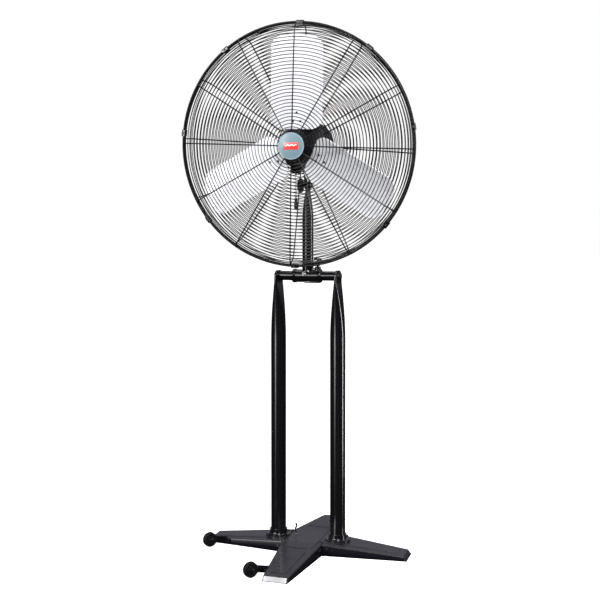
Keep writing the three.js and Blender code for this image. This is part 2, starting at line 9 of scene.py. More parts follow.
import bmesh
import bpy
import numpy as np
from mathutils import Euler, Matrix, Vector


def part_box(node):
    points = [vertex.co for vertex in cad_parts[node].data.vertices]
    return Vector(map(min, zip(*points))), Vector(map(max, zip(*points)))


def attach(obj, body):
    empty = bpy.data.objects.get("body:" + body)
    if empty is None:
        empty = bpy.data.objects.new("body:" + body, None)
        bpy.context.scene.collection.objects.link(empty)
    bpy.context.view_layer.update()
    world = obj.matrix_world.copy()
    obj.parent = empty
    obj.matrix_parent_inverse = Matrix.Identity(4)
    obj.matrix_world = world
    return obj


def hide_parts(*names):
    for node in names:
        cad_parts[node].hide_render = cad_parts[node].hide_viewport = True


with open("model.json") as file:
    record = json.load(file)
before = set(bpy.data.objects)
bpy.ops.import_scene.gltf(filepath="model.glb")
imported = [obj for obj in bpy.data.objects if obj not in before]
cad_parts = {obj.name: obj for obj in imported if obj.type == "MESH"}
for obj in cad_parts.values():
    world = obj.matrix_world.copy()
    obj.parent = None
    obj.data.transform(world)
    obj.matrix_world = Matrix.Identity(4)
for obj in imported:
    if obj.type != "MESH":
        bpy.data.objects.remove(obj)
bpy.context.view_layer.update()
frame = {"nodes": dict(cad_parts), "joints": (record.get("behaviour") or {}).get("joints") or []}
log = logging.getLogger("pedestal_fan")

Array = np.ndarray
SAME_POINT = 1e-6  # points nearer than this are one
GAP = 0.0003  # left between pieces that touch


# ---------------------------------------------------------------- surfaces
@dataclass(frozen=True)
class Skin:
    """A surface as plain arrays: points of shape (n, 3), and four-cornered faces of shape (m, 4)."""

    points: Array
    faces: Array

    def moved(self, place: "Place") -> "Skin":
        """The same surface, put from a place's own coordinates into the row frame."""
        return Skin(place.put(self.points), self.faces)


@dataclass(frozen=True)
class Place:
    """A turned set of axes: origin in the row frame, and the columns of axes as its x, y and z."""

    origin: Array
    axes: Array

    def put(self, points: Array) -> Array:
        """Points in this place's coordinates, carried into the row frame."""
        return points @ self.axes.T + self.origin


def joint(name: str) -> dict:
    """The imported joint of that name."""
    return next(j for j in frame["joints"] if j["name"] == name)


def place_of(name: str, forward: Array) -> Place:
    """A place at a joint, whose y axis points along forward and whose z axis leans up.

    Args:
        name: the joint at whose position the place stands.
        forward: the direction of its y axis in the row frame.

    Returns:
        The place, with x level and to the right of forward.
    """
    y = forward / np.linalg.norm(forward)
    x = np.cross(y, (0.0, 0.0, 1.0))
    x /= np.linalg.norm(x)
    return Place(np.array(joint(name)["pos_m"], float), np.stack([x, y, np.cross(x, y)], axis=1))


def grid(points: Array, wrap_rows: bool = False, wrap_columns: bool = False) -> Skin:
    """Four-cornered faces over a table of points.

    Args:
        points: shape (rows, columns, 3).
        wrap_rows: join the last row to the first.
        wrap_columns: join the last column to the first.

    Returns:
        The surface; each face's corners are a point, its right neighbour, and the two below them.
    """
    rows, columns = points.shape[:2]
    index = np.arange(rows * columns).reshape(rows, columns)
    right = np.roll(index, -1, axis=1)
    below = np.roll(index, -1, axis=0)
    across = np.roll(right, -1, axis=0)
    last_row = rows if wrap_rows else rows - 1
    last_column = columns if wrap_columns else columns - 1
    corners = np.stack([index, right, across, below], axis=-1)[:last_row, :last_column]
    return Skin(points.reshape(-1, 3), corners.reshape(-1, 4))


def together(*skins: Skin) -> Skin:
    """Several surfaces as one, with each one's face numbers moved past the points before it.

    Args:
        skins: the surfaces, in order.

    Returns:
        One surface with all their points and faces.
    """
    starts = np.cumsum([0] + [len(s.points) for s in skins[:-1]])
    faces = [s.faces + start for s, start in zip(skins, starts)]
    return Skin(np.concatenate([s.points for s in skins]), np.concatenate(faces))


def turns(count: int) -> Array:
    """Angles that split a full turn evenly, in radians."""
    return np.linspace(0.0, 2 * pi, count, endpoint=False)


def revolved(profile: Array, sides: int, closed: bool = False) -> Skin:
    """A profile spun about the y axis: x = r sin(a), z = r cos(a).

    Args:
        profile: (n, 2) of radius and height along y; an end at radius 0 closes on the axis.
        sides: steps round the axis.
        closed: join the profile's end to its start, as for a ring.

    Returns:
        The surface.
    """
    r, y = np.asarray(profile, float).T
    a = turns(sides)
    spun = np.stack(
        [np.outer(r, np.sin(a)), np.repeat(y[:, None], sides, axis=1), np.outer(r, np.cos(a))], axis=-1
    )
    return grid(spun, wrap_rows=closed, wrap_columns=True)


def tube(path: Array, side: Array, radius: Array, sides: int) -> Skin:
    """A round tube along a flat path, with both ends closed.

    A ring of radius r stands square to the path at each point: p + r (cos(a) n + sin(a) side),
    where n is side crossed with the path's direction.

    Args:
        path: (n, 3) points.
        side: the one direction that is square to the whole path.
        radius: a number, or one for each point.
        sides: steps round the tube.

    Returns:
        The surface.
    """
    path = np.asarray(path, float)
    along = np.gradient(path, axis=0)
    along /= np.linalg.norm(along, axis=1, keepdims=True)
    side = np.asarray(side, float) / np.linalg.norm(side)
    normal = np.cross(side, along)
    reach = np.broadcast_to(np.asarray(radius, float), len(path))
    path = np.concatenate([path[:1], path, path[-1:]])
    normal = np.concatenate([normal[:1], normal, normal[-1:]])
    reach = np.concatenate([[0.0], reach, [0.0]])
    a = turns(sides)[None, :, None]
    rings = path[:, None] + reach[:, None, None] * (np.cos(a) * normal[:, None] + np.sin(a) * side)
    return grid(rings, wrap_columns=True)


def hoop(radius: float, y: float, wire: float, steps: int, sides: int) -> Skin:
    """A round wire bent into a ring about the y axis: a circle of radius wire carried round it.

    Args:
        radius: of the ring's centre line.
        y: the ring's place along the axis.
        wire: radius of the wire.
        steps: steps round the ring.
        sides: steps round the wire.

    Returns:
        The closed ring.
    """
    a = turns(sides)
    profile = np.stack([radius + wire * np.cos(a), y + wire * np.sin(a)], axis=1)
    return revolved(profile, steps, closed=True)


def softened(points: Array, passes: int = 2) -> Array:
    """A path with its corners cut: each pass puts two points at 1/4 and 3/4 of every stretch.

    Args:
        points: (n, k) corners of the path.
        passes: how many times the corners are cut.

    Returns:
        The rounder path, from the same first point to the same last one.
    """
    points = np.asarray(points, float)
    for _ in range(passes):
        near = 0.75 * points[:-1] + 0.25 * points[1:]
        far = 0.25 * points[:-1] + 0.75 * points[1:]
        middle = np.stack([near, far], axis=1).reshape(-1, points.shape[1])
        points = np.concatenate([points[:1], middle, points[-1:]])
    return points


def rounded_box(low: Array, high: Array, edge: float, steps: int = 3) -> Skin:
    """A box with round edges: a ball's directions, each coordinate pushed out to the box's own corner.

    Args:
        low: lowest corner.
        high: highest corner.
        edge: radius of the edges.
        steps: steps in each quarter turn.

    Returns:
        The closed surface.
    """
    low, high = np.asarray(low, float), np.asarray(high, float)
    quarter = np.linspace(0.0, pi / 2, steps + 1)
    around = np.concatenate([quarter + k * pi / 2 for k in range(4)])
    corner = np.repeat([0, 1, 2, 3], steps + 1)
    signs = np.stack([np.isin(corner, (0, 3)) * 2 - 1, np.isin(corner, (0, 1)) * 2 - 1], axis=1)
    rise = np.concatenate([quarter - pi / 2, quarter])
    up = np.repeat([-1, 1], steps + 1)
    half = (high - low) / 2 - edge
    flat = np.cos(rise)[:, None]
    x = signs[:, 0] * half[0] + edge * flat * np.cos(around)
    y = signs[:, 1] * half[1] + edge * flat * np.sin(around)
    z = np.repeat((up * half[2] + edge * np.sin(rise))[:, None], len(around), axis=1)
    body = np.stack([x, y, z], axis=-1)
    ends = [np.repeat([[[0.0, 0.0, s * (half[2] + edge)]]], len(around), axis=1) for s in (-1, 1)]
    return grid(np.concatenate([ends[0], body, ends[1]]) + (low + high) / 2, wrap_columns=True)


def hex_bolt(centre: Array, axis: Array, radius: float, height: float) -> Skin:
    """A hexagon head with a washer under it and a chamfer round its top.

    The section swings between a hexagon and a circle: r(a) is the flat's distance over the cosine
    of the angle from the middle of the nearest flat.

    Args:
        centre: the middle of its foot.
        axis: the way it stands up.
        radius: across the corners, halved.
        height: of the head.

    Returns:
        The closed surface.
    """
    axis = np.asarray(axis, float) / np.linalg.norm(axis)
    helper = np.array([0.0, 0.0, 1.0]) if abs(axis[2]) < 0.9 else np.array([1.0, 0.0, 0.0])
    x = np.cross(helper, axis)
    x /= np.linalg.norm(x)
    place = Place(np.asarray(centre, float), np.stack([x, axis, np.cross(x, axis)], axis=1))
    a = turns(24)
    hexagon = np.cos(pi / 6) / np.cos((a % (pi / 3)) - pi / 6)
    washer = 1.22 * np.ones_like(a)
    rows = [
        (0.0, 0.0, washer),
        (1.0, 0.0, washer),
        (1.0, 0.18, washer),
        (0.97, 0.22, washer),
        (1.0, 0.22, hexagon),
        (1.0, 0.85, hexagon),
        (0.9, 1.0, np.minimum(hexagon, 0.9)),
        (0.0, 1.0, hexagon),
    ]
    points = [
        np.stack([k * s * np.sin(a) * radius, np.full_like(a, h * height), k * s * np.cos(a) * radius], 1)
        for k, h, s in rows
    ]
    return grid(np.stack(points), wrap_columns=True).moved(place)


def spun_about(skin: Skin, angle: float) -> Skin:
    """A surface turned about the y axis, so that up goes to angle, counted from +x towards +z.

    Args:
        skin: the surface, drawn upright.
        angle: where its z axis ends up, in radians.

    Returns:
        The turned surface.
    """
    turn = pi / 2 - angle
    x, y, z = skin.points.T
    points = np.stack([x * cos(turn) + z * sin(turn), y, z * cos(turn) - x * sin(turn)], axis=1)
    return Skin(points, skin.faces)


def ramp(value: Array, start: float, end: float) -> Array:
    """0 before start, 1 past end, and the cubic 3t^2 - 2t^3 between them."""
    t = np.clip((value - start) / (end - start), 0.0, 1.0)
    return t * t * (3 - 2 * t)


# ---------------------------------------------------------------- pieces
def add_piece(
    name: str,
    skin: Skin,
    material: bpy.types.Material,
    body: str,
    replaces: tuple[str, ...] = (),
    crease: float = 35.0,
    wall: float = 0.0,
) -> bpy.types.Object:
    """Makes one piece of the fan from a surface, and has it ride on its CAD body.

    Args:
        name: the piece's name.
        skin: its surface in the row frame.
        material: its finish.
        body: the CAD body that carries it.
        replaces: the CAD nodes that it stands for.
        crease: edges sharper than this many degrees stay sharp.
        wall: thickness given to an open sheet, inwards.

    Returns:
        The object, at the origin, with its place in its mesh.
    """
    mesh = bpy.data.meshes.new(name)
    mesh.from_pydata(skin.points.tolist(), [], skin.faces.tolist())
    work = bmesh.new()
    work.from_mesh(mesh)
    bmesh.ops.remove_doubles(work, verts=work.verts, dist=SAME_POINT)
    bmesh.ops.dissolve_degenerate(work, edges=work.edges, dist=1e-7)
    bmesh.ops.recalc_face_normals(work, faces=work.faces)
    work.to_mesh(mesh)
    work.free()
    mesh.shade_smooth()
    mesh.set_sharp_from_angle(angle=radians(crease))
    mesh.materials.append(material)
    piece = bpy.data.objects.new(name, mesh)
    bpy.context.scene.collection.objects.link(piece)
    if wall:
        solid = piece.modifiers.new("wall", "SOLIDIFY")
        solid.thickness = wall
        solid.offset = -1.0
    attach(piece, body)
    if replaces:
        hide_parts(*replaces)
    log.info("%s: %d faces, rides on %s", name, len(mesh.polygons), body)
    return piece


def dress_node(name: str, material: bpy.types.Material, edge: float = 0.0) -> None:
    """Gives a CAD node that stays its finish, smooth round faces and softened edges.

    Args:
        name: the node.
        material: its finish.
        edge: width of the bevel on its sharp edges.
    """
    node = frame["nodes"][name]
    node.data.materials.clear()
    node.data.materials.append(material)
    node.data.polygons.foreach_set("use_smooth", np.ones(len(node.data.polygons), bool))
    weld = node.modifiers.new("weld", "WELD")
    weld.merge_threshold = SAME_POINT
    if edge:
        bevel = node.modifiers.new("edges", "BEVEL")
        bevel.width = edge
        bevel.segments = 2
        bevel.limit_method = "ANGLE"
        bevel.angle_limit = radians(40)
    split = node.modifiers.new("creases", "EDGE_SPLIT")
    split.split_angle = radians(32)
    log.info("%s: kept, with a new finish", name)


# ---------------------------------------------------------------- shader groups
class Tree:
    """A short way to write the nodes of a material or a group."""

    def __init__(self, tree: bpy.types.NodeTree) -> None:
        """Keeps the tree that the nodes go into."""
        self.tree = tree

    def add(self, kind: str, inputs: dict | None = None, **settings: object) -> bpy.types.Node:
        """Adds a node.

        Args:
            kind: the node's type.
            inputs: by the socket's name or number, a constant or another node's output.
            settings: the node's own properties.

        Returns:
            The node.
        """
        node = self.tree.nodes.new(kind)
        for name, value in settings.items():
            setattr(node, name, value)
        for name, value in (inputs or {}).items():
            if isinstance(value, bpy.types.NodeSocket):
                self.tree.links.new(value, node.inputs[name])
            else:
                node.inputs[name].default_value = value
        return node

    def math(self, operation: str, a: object, b: object = 0.0) -> bpy.types.NodeSocket:
        """The output of a Math node on two values or sockets."""
        return self.add("ShaderNodeMath", {0: a, 1: b}, operation=operation).outputs[0]

    def mixed(self, factor: object, a: object, b: object) -> bpy.types.NodeSocket:
        """The output of a colour Mix node."""
        return self.add("ShaderNodeMix", {0: factor, 6: a, 7: b}, data_type="RGBA").outputs[2]

    def noise(self, place: bpy.types.NodeSocket, scale: float, detail: float = 3.0) -> bpy.types.NodeSocket:
        """The grey output of a noise at that scale."""
        settings = {"Vector": place, "Scale": scale, "Detail": detail}
        return self.add("ShaderNodeTexNoise", settings).outputs["Fac"]


def new_group(name: str, sockets: dict[str, float], outputs: tuple[str, ...]) -> tuple[Tree, dict, dict]:
    """Starts a node group with number sockets.

    Args:
        name: the group's name.
        sockets: its inputs and their first values.
        outputs: the names of its outputs.

    Returns:
        The tree, its inputs by name, and its output sockets by name.
    """
    tree = bpy.data.node_groups.new(name, "ShaderNodeTree")
    for label, value in sockets.items():
        made = tree.interface.new_socket(label, in_out="INPUT", socket_type="NodeSocketFloat")
        made.default_value = value
    for label in outputs:
        tree.interface.new_socket(label, in_out="OUTPUT", socket_type="NodeSocketFloat")
    source = tree.nodes.new("NodeGroupInput")
    sink = tree.nodes.new("NodeGroupOutput")
    return Tree(tree), {k: source.outputs[k] for k in sockets}, {k: sink.inputs[k] for k in outputs}


def dust_and_sheen_group() -> bpy.types.NodeTree:
    """A mask for dust and a painted top sheen: high where the surface faces up, broken by two sizes of
    noise.

    Returns:
        The node group.
    """
    t, given, out = new_group("settled_dust", {"Amount": 0.5, "Scale": 40.0}, ("Mask",))
    place = t.add("ShaderNodeTexCoord").outputs["Object"]
    normal = t.add("ShaderNodeNewGeometry").outputs["Normal"]
    facing = t.add("ShaderNodeSeparateXYZ", {0: normal}).outputs[2]
    upward = t.add("ShaderNodeMapRange", {0: facing, 1: 0.25, 2: 1.0}).outputs[0]
    patches = t.add("ShaderNodeTexNoise", {"Vector": place, "Scale": given["Scale"], "Detail": 4.0})
    fine = t.noise(place, 900.0, 2.0)
    blend = t.math("ADD", t.math("MULTIPLY", patches.outputs["Fac"], 0.8), t.math("MULTIPLY", fine, 0.4))
    settled = t.math("MULTIPLY", t.math("MULTIPLY", upward, blend), given["Amount"])
    t.tree.links.new(settled, out["Mask"])
    return t.tree


def scuff_group() -> bpy.types.NodeTree:
    """A mask for fine scuffs: long thin noise cut off near its top, and a second one across it.

    Returns:
        The node group.
    """
    t, given, out = new_group("fine_scuffs", {"Amount": 0.5, "Scale": 60.0}, ("Mask", "Cloud"))
    place = t.add("ShaderNodeTexCoord").outputs["Object"]
    marks = []
    for stretch in ((1.0, 14.0, 0.7), (11.0, 1.0, 1.3)):
        scaled = t.add("ShaderNodeMapping", {"Vector": place, "Scale": stretch}).outputs[0]
        grain = t.add("ShaderNodeTexNoise", {"Vector": scaled, "Scale": given["Scale"], "Detail": 2.0})
        marks.append(t.add("ShaderNodeMapRange", {0: grain.outputs["Fac"], 1: 0.66, 2: 0.74}).outputs[0])
    both = t.math("MAXIMUM", marks[0], marks[1])
    t.tree.links.new(t.math("MULTIPLY", both, given["Amount"]), out["Mask"])
    t.tree.links.new(t.noise(place, 9.0, 5.0), out["Cloud"])
    return t.tree


def peel_group() -> bpy.types.NodeTree:
    """The height of sprayed paint: soft waves a few millimetres long with a fine grain on them.

    Returns:
        The node group.
    """
    t, given, out = new_group("paint_peel", {"Scale": 420.0, "Grain": 0.15}, ("Height",))
    place = t.add("ShaderNodeTexCoord").outputs["Object"]
    waves = t.add("ShaderNodeTexNoise", {"Vector": place, "Scale": given["Scale"], "Detail": 1.0})
    fine = t.math("MULTIPLY", t.noise(place, 2600.0, 2.0), given["Grain"])
    t.tree.links.new(t.math("ADD", waves.outputs["Fac"], fine), out["Height"])
    return t.tree


def brushed_group() -> bpy.types.NodeTree:
    """Streaks of rolled or turned metal: noise drawn out along one of three directions.

    Returns:
        The node group.
    """
    shares = {"X": 1.0, "Y": 40.0, "Z": 40.0, "Scale": 30.0}
    t, given, out = new_group("metal_streaks", shares, ("Streak", "Cloud"))
    place = t.add("ShaderNodeTexCoord").outputs["Object"]
    stretch = t.add("ShaderNodeCombineXYZ", {0: given["X"], 1: given["Y"], 2: given["Z"]}).outputs[0]
    drawn = t.add("ShaderNodeVectorMath", {0: place, 1: stretch}, operation="MULTIPLY").outputs[0]
    streak = t.add("ShaderNodeTexNoise", {"Vector": drawn, "Scale": given["Scale"], "Detail": 4.0})
    t.tree.links.new(streak.outputs["Fac"], out["Streak"])
    t.tree.links.new(t.noise(place, 22.0, 3.0), out["Cloud"])
    return t.tree


GROUPS = {"dust": dust_and_sheen_group(), "scuffs": scuff_group(), "peel": peel_group(), "brushed": brushed_group()}


class Grain(Enum):
    """The way that a metal's streaks run."""

    ALONG_X = (1.0, 40.0, 40.0)
    ALONG_Y = (40.0, 1.0, 40.0)
    ALONG_Z = (40.0, 40.0, 1.0)
    NONE = (9.0, 9.0, 9.0)


@dataclass(frozen=True)
class Finish:
    """What every finish shares: a name, a colour and how rough it is."""

    name: str
    colour: tuple[float, float, float]
    roughness: float

    def start(self, **constants: float) -> tuple[Tree, bpy.types.Node, bpy.types.Material]:
        """Makes the material with its Principled shader.

        Args:
            constants: values for the shader's own sockets.

        Returns:
            The tree, the shader and the material.
        """
        material = bpy.data.materials.new(self.name)
        material.use_nodes = True
        t = Tree(material.node_tree)
        shader = t.tree.nodes["Principled BSDF"]
        for label, value in constants.items():
            shader.inputs[label].default_value = value
        return t, shader, material

    def group(self, t: Tree, name: str, **inputs: float) -> bpy.types.Node:
        """Places one of the shared groups with its own values.

        Args:
            t: the material's tree.
            name: the group's name in GROUPS.
            inputs: a value for each of its inputs that differs from the first one.

        Returns:
            The group's node.
        """
        node = t.add("ShaderNodeGroup", node_tree=GROUPS[name])
        for label, value in inputs.items():
            node.inputs[label].default_value = value
        return node

    def relief(self, t: Tree, shader: bpy.types.Node, height: bpy.types.NodeSocket, depth: float) -> None:
        """Feeds a height into the shader's normal, depth metres from trough to crest."""
        bump = t.add("ShaderNodeBump", {"Height": height, "Distance": depth, "Strength": 0.6})
        t.tree.links.new(bump.outputs["Normal"], shader.inputs["Normal"])


@dataclass(frozen=True)
class Paint(Finish):
    """Sprayed enamel: clear-coated, with peel, scuffs, and dust on what faces up, which also paints a sheen
    on the tops.
    """

    coat: float = 0.6
    peel: float = 0.00006
    # the dust amount and colour on upward faces also stand in for a painted sheen on the tops
    dust: float = 0.3
    gloss: float = 0.5
    dust_and_sheen_colour: tuple[float, float, float] = (0.16, 0.155, 0.17)

    def material(self) -> bpy.types.Material:
        """Joins the shared groups into the shader.

        Returns:
            The finished material.
        """
        t, shader, made = self.start(**{"Coat Roughness": 0.08, "Specular IOR Level": self.gloss})
        dust = self.group(t, "dust", Amount=self.dust).outputs["Mask"]
        scuffs = self.group(t, "scuffs", Amount=0.5)
        peel = self.group(t, "peel").outputs["Height"]
        colour = (*self.colour, 1.0)
        worn = tuple(min(1.0, 2.2 * c + 0.01) for c in self.colour) + (1.0,)
        base = t.mixed(t.math("MULTIPLY", scuffs.outputs["Mask"], 0.5), colour, worn)
        # upward faces take the dust colour: settled dust, and partly a painted sheen on the tops
        base = t.mixed(dust, base, (*self.dust_and_sheen_colour, 1.0))
        cloud = t.math("MULTIPLY_ADD", scuffs.outputs["Cloud"], 0.12)
        cloud.node.inputs[2].default_value = self.roughness - 0.06
        rough = t.math("ADD", cloud, t.math("MULTIPLY", scuffs.outputs["Mask"], 0.15))
        rough = t.math("ADD", rough, t.math("MULTIPLY", dust, 0.5))
        coat = t.math("MULTIPLY", t.math("SUBTRACT", 1.0, dust), self.coat)
        t.tree.links.new(base, shader.inputs["Base Color"])
        t.tree.links.new(rough, shader.inputs["Roughness"])
        t.tree.links.new(coat, shader.inputs["Coat Weight"])
        self.relief(t, shader, peel, self.peel)
        return made


@dataclass(frozen=True)
class Metal(Finish):
    """Bare or plated metal with streaks one way and cloudy stains."""

    grain: Grain = Grain.NONE
    stain: tuple[float, float, float] = (0.45, 0.43, 0.40)
    metallic: float = 1.0
    depth: float = 0.00002

    def material(self) -> bpy.types.Material:
        """Joins the shared groups into the shader.

        Returns:
            The finished material.
        """
        t, shader, made = self.start(Metallic=self.metallic)
        x, y, z = self.grain.value
        streaks = self.group(t, "brushed", X=x, Y=y, Z=z)
        scuffs = self.group(t, "scuffs", Amount=0.6, Scale=110.0).outputs["Mask"]
        cloud = t.add("ShaderNodeMapRange", {0: streaks.outputs["Cloud"], 1: 0.45, 2: 0.75}).outputs[0]
        base = t.mixed(t.math("MULTIPLY", cloud, 0.35), (*self.colour, 1.0), (*self.stain, 1.0))
        shade = t.math("MULTIPLY", streaks.outputs["Streak"], 0.25)
        base = t.mixed(shade, base, tuple(0.7 * c for c in self.colour) + (1.0,))
        rough = t.math("MULTIPLY_ADD", streaks.outputs["Streak"], 0.22)
        rough.node.inputs[2].default_value = self.roughness - 0.1
        rough = t.math("ADD", rough, t.math("MULTIPLY", scuffs, 0.12))
        t.tree.links.new(base, shader.inputs["Base Color"])
        t.tree.links.new(rough, shader.inputs["Roughness"])
        self.relief(t, shader, streaks.outputs["Streak"], self.depth)
        return made


@dataclass(frozen=True)
class Moulding(Finish):
    """Plastic or rubber out of a mould: a fine even grain, and handling marks."""

    texture: float = 1800.0
    depth: float = 0.00008
    coat: float = 0.0
    gloss: float = 0.5

    def material(self) -> bpy.types.Material:
        """Joins the shared groups into the shader.

        Returns:
            The finished material.
        """
        constants = {"Coat Roughness": 0.1, "Coat Weight": self.coat, "Specular IOR Level": self.gloss}
        t, shader, made = self.start(**constants)
        place = t.add("ShaderNodeTexCoord").outputs["Object"]
        settings = {"Vector": place, "Scale": self.texture}
        cells = t.add("ShaderNodeTexVoronoi", settings).outputs["Distance"]
        scuffs = self.group(t, "scuffs", Amount=0.7, Scale=80.0)
        dust = self.group(t, "dust", Amount=0.2).outputs["Mask"]
        lighter = tuple(min(1.0, 1.5 * c + 0.012) for c in self.colour) + (1.0,)
        marks = t.math("MULTIPLY", t.math("ADD", scuffs.outputs["Mask"], dust), 0.6)
        base = t.mixed(marks, (*self.colour, 1.0), lighter)
        rough = t.math("MULTIPLY_ADD", scuffs.outputs["Cloud"], 0.2)
        rough.node.inputs[2].default_value = self.roughness - 0.1
        t.tree.links.new(base, shader.inputs["Base Color"])
        t.tree.links.new(rough, shader.inputs["Roughness"])
        self.relief(t, shader, cells, self.depth)
        return made


POST_PAINT = Paint("gloss_black_paint", (0.003, 0.003, 0.004), 0.16, dust=0.04).material()
# this paint's upward faces are lightened by the dust mask: partly dust, partly a painted sheen on the tops
BASE_PAINT = Paint(
    "base_black_paint", (0.005, 0.005, 0.008), 0.22, coat=0.18, dust=0.25, gloss=0.3
).material()
WIRE_PAINT = Paint(
    "guard_wire_coating", (0.003, 0.003, 0.004), 0.32, coat=0.05, dust=0.02, gloss=0.2
).material()
MOTOR_PAINT = Paint(
    "motor_black_paint", (0.006, 0.006, 0.007), 0.38, coat=0.2, peel=0.00012, dust=0.15
).material()
ZINC = Metal("bright_zinc", (0.62, 0.61, 0.57), 0.3, stain=(0.5, 0.46, 0.36)).material()
BLACKED = Metal("blacked_steel", (0.06, 0.06, 0.065), 0.35, stain=(0.12, 0.09, 0.06)).material()
NICKEL = Metal("nickel_beads", (0.62, 0.62, 0.60), 0.25).material()
# pale metal for the front tip's face: its brightness partly stands in for a painted reflection
TIP_METAL_AND_REFLECTION = Metal("bright_strip", (0.52, 0.52, 0.54), 0.35, grain=Grain.ALONG_X, metallic=0.7).material()
BLADE_METAL = Metal(
    "rolled_aluminium", (0.83, 0.83, 0.875), 0.42,
    grain=Grain.ALONG_Z, stain=(0.76, 0.76, 0.82), metallic=0.12
).material()
LAMINATION = Metal("stacked_laminations", (0.22, 0.20, 0.19), 0.5, grain=Grain.ALONG_Z).material()
RUBBER = Moulding("wheel_rubber", (0.003, 0.003, 0.004), 0.5, depth=0.0001, gloss=0.2).material()
PLASTIC = Moulding("black_plastic", (0.004, 0.004, 0.005), 0.42, gloss=0.35).material()
CASE = Moulding("capacitor_case", (0.10, 0.10, 0.11), 0.5).material()
BADGE_FACE = Moulding("badge_grey_blue", (0.105, 0.17, 0.205), 0.4, depth=0.00003, coat=0.5).material()
BADGE_EDGE = Moulding("badge_pale_rim", (0.19, 0.27, 0.31), 0.35, depth=0.00003, coat=0.4).material()
EMBLEM_RED = Moulding("emblem_red", (0.75, 0.025, 0.015), 0.35, depth=0.00002, coat=0.5).material()
EMBLEM_WHITE = Moulding("emblem_white", (0.85, 0.83, 0.82), 0.35, depth=0.00002, coat=0.5).material()


# ---------------------------------------------------------------- studio
@dataclass(frozen=True)
class Glow:
    """A soft-edged patch of the room that shows in the paint: its heading, reach and brightness."""

    heading: tuple[float, float]
    half_width: float
    softness: float
    rise: tuple[float, float, float, float]
    strength: float
    tint: tuple[float, float, float] = (1.0, 1.0, 1.0)


